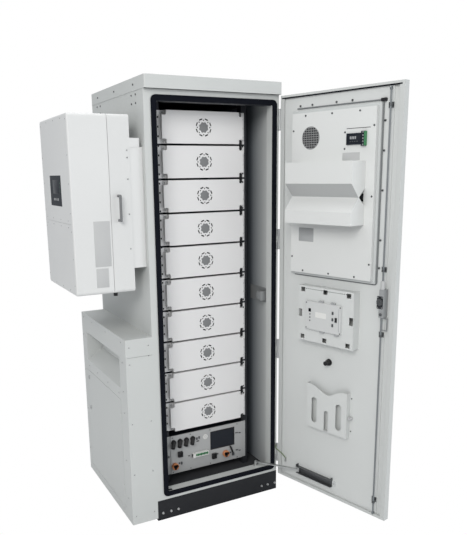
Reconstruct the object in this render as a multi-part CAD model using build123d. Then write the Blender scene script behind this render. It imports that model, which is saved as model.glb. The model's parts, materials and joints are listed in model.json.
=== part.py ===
from build123d import *
import os
from math import cos, radians, sin, sqrt

# Outdoor battery cabinet: a 19-inch rack of ten modules behind an insulated door that
# carries an air conditioner, with an inverter and a cable box hung on the left side.
# Millimetres. +X right, +Y to the rear, +Z up. Drawn with y = 0 on the body's front face,
# then moved so that the origin is the middle of the plinth's underside.

# ---- cabinet body ----
WIDTH = 716.0
DEPTH = 771.0
PLINTH_H = 110.0
HEAD_SPACE = 75.0
ROOF_H = 58.0
ROOF_FRONT = 24.0
ROOF_SIDE = 2.0
ROOF_EDGE_R = 8.0
PANEL_T = 25.0
SHEET = 2.5
FLOOR_T = 6.0
PLINTH_SHEET = 4.0
PLINTH_FLANGE = 60.0
ANCHOR_INSET = 35.0
ANCHOR_HOLE = 14.0

# ---- door opening and its gasket ----
JAMB_LEFT = 35.0
JAMB_RIGHT = 14.0
GASKET_BOTTOM = 127.0
JAMB_HEAD = 24.0
GASKET_W = 25.0
GASKET_T = 5.5
GASKET_R = 24.0
FRAME_RETURN = 47.0
OPENING_MARGIN = 2.0

# ---- rack ----
RACK_X = 4.0
EAR_SPAN = 482.6
RACK_CLEAR = 450.0
EAR_FRONT = 152.0
EAR_T = 2.0
POST_FLANGE = 31.0
POST_LEG = 40.0
REAR_POST_Y = 600.0
RUNNER_H = 24.0
TIE_H = 40.0
TIE_Y = 330.0
TIE_MODULES = (1, 5, 9)

# ---- battery modules ----
MODULE_COUNT = 10
MODULE_GAP = 10.0
MODULE_H = 154.0
STACK_GAP = 24.0
MODULE_PROUD = 24.0
MODULE_FACE_W = 443.0
MODULE_CASE_W = 439.0
MODULE_DEPTH = 440.0
NOTCH_W = 23.0
NOTCH_H = 22.0
NOTCH_R = 8.0
VENT_R = 44.0
VENT_HUB_R = 28.0
VENT_RECESS = 1.5
VENT_DEEP = 6.0
VENT_SLOTS = 8
VENT_DOTS_R = 34.0

# ---- control box ----
CONTROL_TOP = 376.0
CONTROL_H = 216.0
CONTROL_DEPTH = 420.0
SCREEN_X = 97.0
SCREEN_Z = 301.0
SCREEN_W = 144.0
SCREEN_H = 100.0
PLUG_R = 14.0
PLUG_L = 34.0
PLUG_PITCH = 37.5
PLUG_X = -199.0
PLUG_Z = 340.0
PLUG_AXIS = (-0.45, -0.65, -0.62)
START_X = -9.0
PORT_X = (-163.0, 42.0)
PORT_Z = (266.0, 210.0)
PORT_W = 26.0
PORT_H = 30.0
PORT_WALL = 4.0
PORT_PROUD = 12.0
STRIP_LEFT = -89.0
STRIP_RIGHT = 3.0
STRIP_BOTTOM = 232.0
STRIP_TOP = 252.0
STRIP_PROUD = 14.0
SOCKET_X = (115.0, -195.0)
SOCKET_Z = (208.0, 204.0)
SOCKET_R = 17.0
SOCKET_BORE_R = 11.0
SOCKET_PROUD = 16.0
SOCKET_BORE_DEEP = 9.0
START_Z = 333.0
START_R = 9.0
START_PROUD = 6.0
START_TRAVEL = 3.0
BORE_GAP = 0.1

# ---- door ----
PIVOT_OUT = 2.0
PIVOT_Y = -6.0
DOOR_ANGLE = 104.6
DOOR_START = 6.0
DOOR_REVEAL = 22.0
DOOR_BOTTOM = 98.0
DOOR_HEAD_GAP = 5.0
DOOR_T = 32.0
DOOR_SKIN = 2.0
LINER_DEPTH = 8.0
LIP_SIDE = 24.0
LIP_ENDS = 15.0
GROOVE_W = 28.0
GROOVE_DEPTH = 5.0
HINGE_DROPS = (1290.0, 704.0, 112.0)
HINGE_LOW = 125.0
HINGE_H = 104.0
BARREL_R = 5.5
PIN_R = 3.5
LEAF_T = 2.0
LEAF_W = 11.0
KNUCKLE_GAP = 0.6

# ---- air conditioner on the door ----
CASING_LEFT = 101.0
CASING_ROD_GAP = 65.0
CASING_H = 761.0
CASING_DROP = 95.0
CASING_PROUD = 29.0
GRILLE_S = 216.0
GRILLE_DROP = 116.0
GRILLE_R = 53.0
GRILLE_PITCH = 10.4
GRILLE_HOLE = 7.2
FAN_R = 47.0
FAN_HUB_R = 17.0
FAN_BLADES = 5
FAN_DEPTH = 13.0
FAN_SHAFT_R = 3.0
FAN_CLEAR = 4.0
HOOD_LEFT = 147.0
HOOD_MARGIN = 47.0
HOOD_DROP = 229.0
HOOD_SLOPE = 96.0
HOOD_CREASE_DROP = 157.0
HOOD_FLAT = 221.0
HOOD_H = 280.0
HOOD_PROUD = 99.0
HOOD_WAIST = 46.0
HOOD_NOTCH_H = 40.0
OUTER_PROUD = 118.0
OUTER_MARGIN = 6.0
LOUVRES = 12
LOUVRE_PITCH = 22.0
LOUVRE_H = 10.0
LOUVRE_INSET = 50.0
OUTER_CHAMFER = 10.0
DISPLAY_INSET = 110.0
DISPLAY_DROP = 132.0
DISPLAY_W = 82.0
DISPLAY_H = 49.0
CABLE_R = 3.0
CABLE_GAP = 17.0
CABLE_BEND = 14.0

# ---- other fittings on the door ----
HUB_BOX_DROP = 199.0
HUB_BOX_W = 333.0
HUB_BOX_H = 278.0
HUB_BOX_PROUD = 47.0
HUB_HOLE_W = 25.0
HUB_HOLE_H = 22.0
HUB_HOLE_X = 138.0
HUB_HOLE_Z = 120.0
HUB_SIDE_X = 154.0
HUB_SIDE_H = 38.0
HUB_W = 213.0
HUB_H = 141.0
HUB_T = 16.0
HUB_DROP = 2.0
ROCKER_W = 12.0
ROCKER_H = 22.0
ROCKER_S = 78.0
ROCKER_GAP = 0.8
ROCKER_DEEP = 6.0
ROCKER_SEAT = 5.6
ROCKER_AXIS = 2.5
ROCKER_PIN_R = 1.5
GLAND_ASIDE = 2.0
GLAND_DROP = 240.0
GLAND_R = 17.0
POCKET_LEFT = 221.0
POCKET_RIGHT = 471.0
POCKET_H = 233.0
POCKET_DROP = 127.0
POCKET_DIP = 37.0
POCKET_PROUD = 28.0
POCKET_SLOT_W = 34.0
POCKET_SLOT_H = 135.0
POCKET_SLOT_PITCH = 76.0
POCKET_SLOT_RISE = 30.0

# ---- door stay ----
STAY_IN = 114.0
STAY_Y = 38.0
STAY_Z = 173.5
CHANNEL_START = 147.0
CHANNEL_END = 378.0
CHANNEL_H = 37.0
CHANNEL_PROUD = 20.0
STAY_REACH = 156.0
STAY_BAR_W = 16.0
STAY_BAR_T = 4.0
ROLLER_R = 6.5
STAY_ROLLER_H = 24.0
STAY_PIN_R = 4.0
STAY_SHIM = 0.3
STAY_LINE = -2.0

# ---- lock ----
ROD_INSET = 52.0
ROD_OUT = 19.0
ROD_R = 4.0
ROD_HEAD = 30.0
ROD_FOOT = 32.0
WHEEL_R = 8.5
WHEEL_T = 6.0
LOCK_RISE = 106.0
LOCK_W = 22.0
LOCK_H = 128.0
GUIDE_NEAR = 150.0
ROD_STROKE = 32.0
LOCK_BORE = 46.0
SHAFT_R = 6.0
SHAFT_GAP = 0.5
LOOP_NEAR = 70.0
LOOP_FAR = 130.0
LOOP_W = 32.0
SEAT_GAP = 0.3
ROSE_R = 19.0
ROSE_T = 8.0
GUIDE_HEAD = 65.0
GUIDE_FOOT = 56.0
HANDLE_L = 128.0
HANDLE_W = 24.0
HANDLE_OUT = 26.0

# ---- cable box low on the left side ----
BOX_W = 136.0
BOX_DEPTH = 745.0
BOX_TOP = 978.0
BOX_BOTTOM = 14.0
BOX_SHEET = 2.0
INLET_FRONT = 98.0
INLET_MARGIN = 84.0
INLET_BOTTOM = 714.0
INLET_TOP = 876.0
INLET_DEPTH = 88.0
INLET_SLOPE = 60.0
COVER_FRONT = 102.0
COVER_MARGIN = 49.0
COVER_BOTTOM = 59.0
COVER_TOP = 653.0
COVER_T = 2.0
COVER_GAP = 2.0
LATCH_INSET = 39.0
LATCH_Z = (428.0, 610.0)
LATCH_R = 11.0
LATCH_SHAFT_R = 5.0
LATCH_TONGUE = 46.0
COVER_KNUCKLE = 20.0
COVER_BARREL_R = 3.0
COVER_PIN_R = 1.5
COVER_HINGE_Z = (130.0, 520.0)
SEAM = 3.0
CAP_H = 88.0

# ---- inverter on the left side ----
INV_OUT = 701.0
INV_BACK = 421.0
INV_SEAM = 521.0
INV_FRONT = 25.0
INV_REAR = 548.0
INV_BOTTOM = 1204.0
INV_TOP = 2005.0
INV_R = 16.0
INV_GROOVE = 3.0
LOWER_COVER_TOP = 1527.0
LCD_Y = 294.0
LCD_Z = 1672.0
LCD_W = 213.0
LCD_H = 141.0
BRACKET_BOTTOM = 1315.0
BRACKET_TOP = 1863.0
BRACKET_T = 4.0
LUG_W = 46.0
LUG_H = 40.0
INV_EDGE_R = 8.0
GRIP_X = -485.0
GRIP_Z = 1594.0
GRIP_L = 110.0
GRIP_OUT = 30.0
GRIP_R = 6.0
INV_GLANDS = 4
INV_GLAND_R = 13.0
INV_GLAND_L = 32.0

# ---- bracket on the right wall that the door's harness lands on ----
LANDING_FRONT = 62.0
LANDING_REAR = 232.0
LANDING_BOTTOM = 1062.0
LANDING_TOP = 1140.0
LANDING_EDGE = 14.0
LANDING_REACH = 42.0
BRACKET_PLATE_T = 3.0
SWITCH_W = 28.0
SWITCH_DEPTH = 38.0

# ---- places worked out from the sizes ----
INLET_REAR = BOX_DEPTH - INLET_MARGIN
COVER_REAR = BOX_DEPTH - COVER_MARGIN
LATCH_Y = COVER_REAR - LATCH_INSET
CENTRE_Y = DEPTH / 2
HALF = WIDTH / 2
MODULE_PITCH = MODULE_H + MODULE_GAP
MODULE_TOP = CONTROL_TOP + STACK_GAP + MODULE_COUNT * MODULE_PITCH
BODY_TOP = MODULE_TOP + HEAD_SPACE
GASKET_LEFT = HALF - JAMB_LEFT
GASKET_RIGHT = HALF - JAMB_RIGHT
GASKET_TOP = BODY_TOP - JAMB_HEAD
PIVOT_X = HALF + PIVOT_OUT
STAY_X = PIVOT_X - STAY_IN
DOOR_END = WIDTH - DOOR_REVEAL
DOOR_TOP = BODY_TOP - DOOR_HEAD_GAP
HINGE_Z = (DOOR_BOTTOM + HINGE_LOW,) + tuple(DOOR_TOP - drop for drop in HINGE_DROPS)
ROD_S = DOOR_END - ROD_INSET
ROD_TOP = DOOR_TOP - ROD_HEAD
ROD_BOTTOM = DOOR_BOTTOM + ROD_FOOT
GUIDE_TOP = ROD_TOP - GUIDE_HEAD
GUIDE_BOTTOM = ROD_BOTTOM + GUIDE_FOOT
CASING_RIGHT = ROD_S - CASING_ROD_GAP
CASING_TOP = DOOR_TOP - CASING_DROP
CASING_BOTTOM = CASING_TOP - CASING_H
GRILLE_Z = CASING_TOP - GRILLE_DROP
DISPLAY_S = CASING_RIGHT - DISPLAY_INSET
DISPLAY_Z = CASING_TOP - DISPLAY_DROP
HOOD_RIGHT = CASING_RIGHT - HOOD_MARGIN
HOOD_TOP = CASING_TOP - HOOD_DROP
HOOD_UPPER = HOOD_TOP - HOOD_SLOPE
HOOD_CREASE = HOOD_TOP - HOOD_CREASE_DROP
HOOD_LOWER = HOOD_TOP - HOOD_FLAT
HOOD_BOTTOM = HOOD_TOP - HOOD_H
HUB_BOX_S = (CASING_LEFT + CASING_RIGHT) / 2
HUB_BOX_Z = CASING_BOTTOM - HUB_BOX_DROP
LOCK_Z = HUB_BOX_Z + LOCK_RISE
GLAND_S = HUB_BOX_S - GLAND_ASIDE
GLAND_Z = HUB_BOX_Z - GLAND_DROP
POCKET_TOP = GLAND_Z - POCKET_DROP
POCKET_BOTTOM = POCKET_TOP - POCKET_H
FLOOR_TOP = PLINTH_H + FLOOR_T
OPEN_LEFT = -GASKET_LEFT + GASKET_W + OPENING_MARGIN
OPEN_RIGHT = GASKET_RIGHT - GASKET_W - OPENING_MARGIN
OPEN_BOTTOM = GASKET_BOTTOM + GASKET_W
OPEN_TOP = GASKET_TOP - GASKET_W - OPENING_MARGIN
RACK_LEFT = RACK_X - RACK_CLEAR / 2
RACK_RIGHT = RACK_X + RACK_CLEAR / 2
POST_FRONT = EAR_FRONT + EAR_T
REAR_FLANGE_Y = REAR_POST_Y + POST_LEG
BODY_BACK = DEPTH - PANEL_T
LINER_FACE = LINER_DEPTH
CASING_FACE = LINER_FACE - CASING_PROUD
HUB_FACE = LINER_FACE - HUB_BOX_PROUD
HUB_Z = HUB_BOX_Z - HUB_DROP
BOX_OUT = -HALF - BOX_W
COVER_AXIS_X = BOX_OUT - 1.0
COVER_AXIS_Y = COVER_FRONT + 4.0
ROD_LINE = -ROD_OUT
FAN_BACK = CASING_FACE + BOX_SHEET + FAN_CLEAR + FAN_DEPTH
LOCK_FACE = ROD_LINE - ROD_R - 4.0
ROD_INNER = LOCK_H / 2 - LOCK_BORE + ROD_STROKE + 2.0


def block(x0, x1, y0, y1, z0, z1):
    """A box between two corners."""
    box = Box(x1 - x0, y1 - y0, z1 - z0)
    return Pos((x0 + x1) / 2, (y0 + y1) / 2, (z0 + z1) / 2) * box


def rod(x, y, z, radius, length, axis="Z"):
    """A cylinder from (x, y, z) along +axis."""
    turn = {"Z": Rotation(0, 0, 0), "Y": Rotation(-90, 0, 0), "X": Rotation(0, 90, 0)}[axis]
    return Pos(x, y, z) * turn * Cylinder(radius, length, align=(Align.CENTER, Align.CENTER, Align.MIN))


def tray(x0, x1, y0, y1, z0, z1, wall, open_side):
    """A thin-walled box with one side left open: '+Y', '-Y', '-Z' or '+X'."""
    inner = [x0 + wall, x1 - wall, y0 + wall, y1 - wall, z0 + wall, z1 - wall]
    side = {"+X": 1, "-Y": 2, "+Y": 3, "-Z": 4}[open_side]
    inner[side] = (x0, x1, y0, y1, z0, z1)[side] + (1 if side % 2 else -1)
    return block(x0, x1, y0, y1, z0, z1) - block(*inner)


def ring(outer, inner, y0, y1, radius_out=0.0, radius_in=0.0):
    """A flat picture frame in the XZ plane between y0 and y1; sizes are x0, x1, z0, z1."""
    def pane(size, radius):
        x0, x1, z0, z1 = size
        face = RectangleRounded(x1 - x0, z1 - z0, radius) if radius else Rectangle(x1 - x0, z1 - z0)
        plane = Plane(origin=((x0 + x1) / 2, y0, (z0 + z1) / 2), x_dir=(1, 0, 0), z_dir=(0, -1, 0))
        return extrude(plane * face, -(y1 - y0))
    return pane(outer, radius_out) - pane(inner, radius_in)


def prism_x(points, x0, x1):
    """A solid with the (y, z) outline, extruded from x0 to x1."""
    outline = Plane.YZ * make_face(Polyline(*points, close=True))
    return Pos(x0, 0, 0) * extrude(outline, x1 - x0)


def prism_y(points, y0, y1):
    """A solid with the (x, z) outline, extruded from y0 to y1."""
    outline = Plane.XZ * make_face(Polyline(*points, close=True))
    return Pos(0, y0, 0) * extrude(outline, -(y1 - y0))


def on_door(shape, angle=DOOR_ANGLE):
    """Door pieces are drawn with x from the hinge pin, y outwards and z up."""
    return Pos(PIVOT_X, PIVOT_Y, 0) * Rotation(0, 0, angle - 180) * shape


# ---- plinth, body and roof ----
def make_plinth():
    """A ring of C-channels, open in the middle, with four anchor holes in its foot."""
    outer = block(-HALF, HALF, 0, DEPTH, 0, PLINTH_H)
    web = block(-HALF + PLINTH_SHEET, HALF - PLINTH_SHEET, PLINTH_SHEET, DEPTH - PLINTH_SHEET,
                PLINTH_SHEET, PLINTH_H - PLINTH_SHEET)
    middle = block(-HALF + PLINTH_FLANGE, HALF - PLINTH_FLANGE, PLINTH_FLANGE, DEPTH - PLINTH_FLANGE,
                   -1, PLINTH_H + 1)
    frame = outer - web - middle
    for x in (-HALF + ANCHOR_INSET, HALF - ANCHOR_INSET):
        for y in (ANCHOR_INSET, DEPTH - ANCHOR_INSET):
            frame -= rod(x, y, -1, ANCHOR_HOLE / 2, PLINTH_SHEET + 2)
    return frame


def make_side_panel(side):
    """A foam-filled side wall behind the front frame's sheet."""
    inner, outer = HALF - PANEL_T, HALF
    x0, x1 = (inner, outer) if side > 0 else (-outer, -inner)
    return block(x0, x1, SHEET, DEPTH, PLINTH_H, BODY_TOP)


def make_rear_panel():
    """The rear wall between the side walls, with a shallow pressed field."""
    wall = block(-HALF + PANEL_T, HALF - PANEL_T, BODY_BACK, DEPTH, FLOOR_TOP, BODY_TOP - PANEL_T)
    border = 70.0
    press = 3.0
    field = block(-HALF + border, HALF - border, DEPTH - press, DEPTH + 1,
                  FLOOR_TOP + border, BODY_TOP - PANEL_T - border)
    return wall - field


def make_floor_and_top():
    """The floor sheet on the plinth and the insulated top between the side walls."""
    x = HALF - PANEL_T
    floor = block(-x, x, SHEET, DEPTH, PLINTH_H, FLOOR_TOP)
    return Compound(children=[floor, block(-x, x, SHEET, DEPTH, BODY_TOP - PANEL_T, BODY_TOP)])


def make_front_frame():
    """The painted sheet round the door opening, folded back inside it as a sill and jambs."""
    opening = (OPEN_LEFT, OPEN_RIGHT, OPEN_BOTTOM, OPEN_TOP)
    grown = (OPEN_LEFT - SHEET, OPEN_RIGHT + SHEET, OPEN_BOTTOM - SHEET, OPEN_TOP + SHEET)
    face = ring((-HALF, HALF, PLINTH_H, BODY_TOP), opening, 0, SHEET)
    fold = ring(grown, opening, SHEET, FRAME_RETURN)
    frame = face + fold
    # the lock rods pass through a keeper slot in the head and in the sill
    rod_x = PIVOT_X - ROD_S
    rod_y = PIVOT_Y + ROD_OUT
    slot = WHEEL_R + 3.0
    for z in (OPEN_BOTTOM, OPEN_TOP):
        frame -= block(rod_x - slot, rod_x + slot, SHEET, rod_y + slot, z - 2 * SHEET, z + 2 * SHEET)
    return frame


def make_roof():
    """A rain cap: a tray turned over, standing forward of the door, on two inner rails."""
    x = HALF + ROOF_SIDE
    top = BODY_TOP + ROOF_H
    shell = block(-x, x, -ROOF_FRONT, DEPTH + ROOF_SIDE, BODY_TOP, top)
    shell = fillet(shell.edges().filter_by(Axis.Z), ROOF_EDGE_R)
    shell -= block(-x + SHEET, x - SHEET, -ROOF_FRONT + SHEET, DEPTH + ROOF_SIDE - SHEET,
                   BODY_TOP - 1, top - SHEET)
    rail_w = 40.0
    for y in (rail_w, DEPTH - 2 * rail_w):
        shell += block(-HALF + PANEL_T, HALF - PANEL_T, y, y + rail_w, BODY_TOP, top - SHEET)
    return shell


def make_gasket():
    """The black rubber seal on the front frame, pressed by the door's lip."""
    outer = (-GASKET_LEFT, GASKET_RIGHT, GASKET_BOTTOM, GASKET_TOP)
    inner = (-GASKET_LEFT + GASKET_W, GASKET_RIGHT - GASKET_W, GASKET_BOTTOM + GASKET_W, GASKET_TOP - GASKET_W)
    return ring(outer, inner, -GASKET_T, 0, GASKET_R, GASKET_R / 4)


# ---- rack ----
def make_posts():
    """Four angle-section posts from the floor to the top panel."""
    z0, z1 = FLOOR_TOP, BODY_TOP - PANEL_T
    posts = []
    for side, edge in ((-1, RACK_LEFT), (1, RACK_RIGHT)):
        def span(width):
            return (edge - width, edge) if side < 0 else (edge, edge + width)
        for front in (True, False):
            flange_y = POST_FRONT if front else REAR_FLANGE_Y - SHEET
            leg_y = POST_FRONT if front else REAR_POST_Y
            flange = block(*span(POST_FLANGE), flange_y, flange_y + SHEET, z0, z1)
            leg = block(*span(SHEET), leg_y, leg_y + POST_LEG, z0, z1)
            posts.append(flange + leg)
    return posts


def module_floor(index):
    """Underside of the front face of module number index, counted from the top."""
    return MODULE_TOP - MODULE_H - index * MODULE_PITCH


def make_ties():
    """Channel brackets from the side walls to the module rails and to the rear posts."""
    wall = HALF - PANEL_T
    rear = ((-wall, RACK_LEFT - POST_FLANGE), (RACK_RIGHT + POST_FLANGE, wall))
    middle = ((-wall, RACK_LEFT), (RACK_RIGHT, wall))
    ties = []
    for level in TIE_MODULES:
        z = module_floor(level)
        for spans, y in ((middle, TIE_Y), (rear, REAR_FLANGE_Y - TIE_H)):
            for x0, x1 in spans:
                body = block(x0, x1, y, y + TIE_H, z, z + TIE_H)
                ties.append(body - block(x0, x1, y + SHEET, y + TIE_H + 1, z + SHEET, z + TIE_H - SHEET))
    return ties


def make_runners():
    """An angle rail under each side of each module, from the front to the rear posts."""
    rails = []
    floors = [module_floor(index) + 1.0 for index in range(MODULE_COUNT)]
    floors.append(CONTROL_TOP - CONTROL_H + 1.0)
    shelf = (RACK_CLEAR - MODULE_CASE_W) / 2 + 14.0
    for z in floors:
        for side, edge in ((-1, RACK_LEFT), (1, RACK_RIGHT)):
            inner = edge - side * SHEET
            lip = edge - side * shelf
            wall = block(min(edge, inner), max(edge, inner), POST_FRONT + SHEET, REAR_FLANGE_Y - SHEET,
                         z - SHEET, z - SHEET + RUNNER_H)
            seat = block(min(edge, lip), max(edge, lip), POST_FRONT + SHEET, REAR_FLANGE_Y - SHEET, z - SHEET, z)
            rails.append(wall + seat)
    return Compound(children=rails)


# ---- battery modules ----
def notched_face(z0):
    """The front cover's outline: a rectangle with a rounded bite out of each corner."""
    w, h = MODULE_FACE_W / 2, MODULE_H / 2
    face = Rectangle(MODULE_FACE_W, MODULE_H)
    for sx in (-1, 1):
        for sz in (-1, 1):
            bite = RectangleRounded(2 * NOTCH_W, 2 * NOTCH_H, NOTCH_R)
            face -= Pos(sx * w, sz * h) * bite
    return Plane(origin=(RACK_X, EAR_FRONT, z0 + h), x_dir=(1, 0, 0), z_dir=(0, -1, 0)) * face


def make_module(index):
    """One battery module: a sheet case, a rack-wide ear plate and a thick moulded cover."""
    z0 = module_floor(index)
    z1 = z0 + MODULE_H
    case_half = MODULE_CASE_W / 2
    case = block(RACK_X - case_half, RACK_X + case_half, POST_FRONT, POST_FRONT + MODULE_DEPTH, z0 + 1, z1 - 1)
    ears = block(RACK_X - EAR_SPAN / 2, RACK_X + EAR_SPAN / 2, EAR_FRONT, POST_FRONT, z0, z1)
    cover = extrude(notched_face(z0), MODULE_PROUD)
    face_y = EAR_FRONT - MODULE_PROUD
    mid = (z0 + z1) / 2
    # the vent: a ring of slots, a ring of small ports and a lobed field for the mesh
    slot = RectangleRounded(19, 6.5, 3)
    marks = []
    for step in range(VENT_SLOTS):
        turn = 360 * step / VENT_SLOTS
        marks.append(Rotation(0, 0, turn + 180 / VENT_SLOTS) * Pos(0, VENT_R - 4) * slot)
        marks.append(Rotation(0, 0, turn) * Pos(0, VENT_DOTS_R) * RectangleRounded(6, 7, 2.5))
    face = Plane(origin=(RACK_X, face_y - 1, mid), x_dir=(1, 0, 0), z_dir=(0, -1, 0))
    cover -= extrude(face * Sketch(children=marks), -(VENT_DEEP + 1))
    lobes = Circle(VENT_HUB_R - 5)
    for step in range(VENT_SLOTS):
        lobes += Rotation(0, 0, 360 * (step + 0.5) / VENT_SLOTS) * Pos(0, VENT_HUB_R - 7) * Circle(6)
    cover -= extrude(face * lobes, -(VENT_RECESS + 1))
    return Compound(children=[case + ears, cover])


# ---- control box ----
def make_control_case():
    """The steel box under the modules, closed at the front by its panel."""
    half = MODULE_CASE_W / 2
    z0 = CONTROL_TOP - CONTROL_H
    return block(RACK_X - half, RACK_X + half, POST_FRONT, POST_FRONT + CONTROL_DEPTH, z0 + 1, CONTROL_TOP - 1)


def make_control_panel():
    """The rack-wide panel with the screen window and the start button's bore."""
    z0 = CONTROL_TOP - CONTROL_H
    panel = block(RACK_X - EAR_SPAN / 2, RACK_X + EAR_SPAN / 2, EAR_FRONT, POST_FRONT, z0, CONTROL_TOP)
    boss_w = MODULE_FACE_W / 2 - 2.0
    proud = 4.0
    panel += block(RACK_X - boss_w, RACK_X + boss_w, EAR_FRONT - proud, EAR_FRONT, z0, CONTROL_TOP)
    panel -= block(SCREEN_X - SCREEN_W / 2, SCREEN_X + SCREEN_W / 2, EAR_FRONT - proud - 1, EAR_FRONT,
                   SCREEN_Z - SCREEN_H / 2, SCREEN_Z + SCREEN_H / 2)
    panel -= rod(START_X, EAR_FRONT - proud - 1, START_Z, START_R + BORE_GAP, proud + 1, "Y")
    return panel


def make_screen():
    """The dark touch screen in the panel's window."""
    edge = 0.3
    return block(SCREEN_X - SCREEN_W / 2 + edge, SCREEN_X + SCREEN_W / 2 - edge, EAR_FRONT - 3.0, EAR_FRONT,
                 SCREEN_Z - SCREEN_H / 2 + edge, SCREEN_Z + SCREEN_H / 2 - edge)


def make_battery_plugs():
    """Four angled round plugs, each leaning down to the left out of its socket."""
    plugs = []
    face_y = EAR_FRONT - 4.0
    for index in range(4):
        x = PLUG_X + index * PLUG_PITCH
        collar = rod(x, face_y - 6.0, PLUG_Z, PLUG_R, 6.0, "Y")
        start = Vector(x, face_y - 6.0, PLUG_Z)
        axis = Plane(origin=start, z_dir=PLUG_AXIS)
        body = axis * Cylinder(PLUG_R * 0.8, PLUG_L, align=(Align.CENTER, Align.CENTER, Align.MIN))
        plugs.append(collar + (body - block(x - 60, x + 60, face_y, face_y + 60, PLUG_Z - 60, PLUG_Z + 60)))
    return Compound(children=plugs)


def make_control_ports():
    """Square connectors, the terminal strip and the round power sockets on the panel."""
    face_y = EAR_FRONT - 4.0
    half_w, half_h = PORT_W / 2, PORT_H / 2
    ports = []
    for x, z in zip(PORT_X, PORT_Z):
        shell = block(x - half_w, x + half_w, face_y - PORT_PROUD, face_y, z - half_h, z + half_h)
        mouth = block(x - half_w + PORT_WALL, x + half_w - PORT_WALL, face_y - PORT_PROUD - 1,
                      face_y - PORT_WALL, z - half_h + PORT_WALL, z + half_h - PORT_WALL)
        ports.append(shell - mouth)
    ports.append(block(STRIP_LEFT, STRIP_RIGHT, face_y - STRIP_PROUD, face_y, STRIP_BOTTOM, STRIP_TOP))
    for x, z in zip(SOCKET_X, SOCKET_Z):
        socket = rod(x, face_y - SOCKET_PROUD, z, SOCKET_R, SOCKET_PROUD, "Y")
        bore = rod(x, face_y - SOCKET_PROUD - 1, z, SOCKET_BORE_R, SOCKET_BORE_DEEP + 1, "Y")
        ports.append(socket - bore)
    return Compound(children=ports)


def make_start_button():
    """The push button, sliding in the panel's bore above its travel."""
    return rod(START_X, EAR_FRONT - 4.0 - START_PROUD, START_Z, START_R, START_PROUD + 3.9 - START_TRAVEL, "Y")


# ---- hinges ----
def knuckle(z0, z1):
    """One length of hinge barrel round the pin's axis."""
    return rod(0, 0, z0, BARREL_R, z1 - z0)


def make_frame_hinges():
    """Leaves on the right side wall, with the outer knuckles and the pins."""
    hinges = []
    third = HINGE_H / 3
    for mid in HINGE_Z:
        z0, z1 = mid - HINGE_H / 2, mid + HINGE_H / 2
        hinge = rod(PIVOT_X, PIVOT_Y, z0 + 1, PIN_R, HINGE_H - 2)
        for a, b in ((z0, z0 + third), (z1 - third, z1)):
            barrel = Pos(PIVOT_X, PIVOT_Y, 0) * knuckle(a, b)
            web = block(HALF - LEAF_W, HALF, -LEAF_T, 0, a, b)
            hinge += barrel + web
        hinges.append(hinge)
    return Compound(children=hinges)


def make_door_hinges():
    """The middle knuckles, bored for the pins, welded to a strap in the door's edge."""
    straps = []
    third = HINGE_H / 3
    for mid in HINGE_Z:
        z0, z1 = mid - third / 2 + KNUCKLE_GAP, mid + third / 2 - KNUCKLE_GAP
        barrel = knuckle(z0, z1)
        strap = block(0, DOOR_START, 0, LEAF_T, z0, z1)
        straps.append(barrel + strap - rod(0, 0, z0 - 1, PIN_R + BORE_GAP, z1 - z0 + 2))
    return on_door(Compound(children=straps))


# ---- door ----
def make_door_pan():
    """The folded outer skin of the door, with a lip turned in all round."""
    s0, s1, z0, z1 = DOOR_START, DOOR_END, DOOR_BOTTOM, DOOR_TOP
    pan = block(s0, s1, 0, DOOR_T, z0, z1)
    pan -= block(s0 + DOOR_SKIN, s1 - DOOR_SKIN, DOOR_SKIN, DOOR_T - DOOR_SKIN, z0 + DOOR_SKIN, z1 - DOOR_SKIN)
    pan -= block(s0 + LIP_SIDE, s1 - LIP_SIDE, -1, DOOR_SKIN + 1, z0 + LIP_ENDS, z1 - LIP_ENDS)
    # the handle's shaft passes through the skin
    pan -= rod(ROD_S, DOOR_T - DOOR_SKIN - 1, LOCK_Z, SHAFT_R + SHAFT_GAP, DOOR_SKIN + 2, "Y")
    return on_door(pan)


def make_door_liner():
    """The insulated inner panel, grooved along its free edge behind the lock rods."""
    edge = DOOR_SKIN
    liner = block(DOOR_START + edge, DOOR_END - edge, LINER_FACE, DOOR_T - edge,
                  DOOR_BOTTOM + edge, DOOR_TOP - edge)
    right = DOOR_END - LIP_SIDE
    liner -= block(right - GROOVE_W, right, LINER_FACE - 1, LINER_FACE + GROOVE_DEPTH,
                   DOOR_BOTTOM + LIP_ENDS, DOOR_TOP - LIP_ENDS)
    liner -= rod(ROD_S, LINER_FACE - 1, LOCK_Z, SHAFT_R + SHAFT_GAP, DOOR_T, "Y")
    return on_door(liner)


def make_casing():
    """The air conditioner's inner cover: a shallow open-backed box with a round fan port."""
    casing = tray(CASING_LEFT, CASING_RIGHT, CASING_FACE, LINER_FACE, CASING_BOTTOM, CASING_TOP, BOX_SHEET, "+Y")
    casing -= rod(GRILLE_S, CASING_FACE - 1, GRILLE_Z, GRILLE_R, BOX_SHEET + 2, "Y")
    return on_door(casing)


def make_grille():
    """A round plate of square holes in the fan port, like punched sheet."""
    plate = rod(GRILLE_S, CASING_FACE, GRILLE_Z, GRILLE_R, BOX_SHEET, "Y")
    reach = int(GRILLE_R / GRILLE_PITCH)
    half = GRILLE_HOLE / 2
    holes = []
    for column in range(-reach, reach + 1):
        for row in range(-reach, reach + 1):
            x, z = column * GRILLE_PITCH, row * GRILLE_PITCH
            if sqrt((abs(x) + half) ** 2 + (abs(z) + half) ** 2) < GRILLE_R - 1:
                holes.append(Pos(x, z) * Rectangle(GRILLE_HOLE, GRILLE_HOLE))
    face = Plane(origin=(GRILLE_S, CASING_FACE - 1, GRILLE_Z), x_dir=(1, 0, 0), z_dir=(0, -1, 0))
    punch = extrude(face * Sketch(children=holes), -(BOX_SHEET + 2))
    return on_door(plate - punch)


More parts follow.
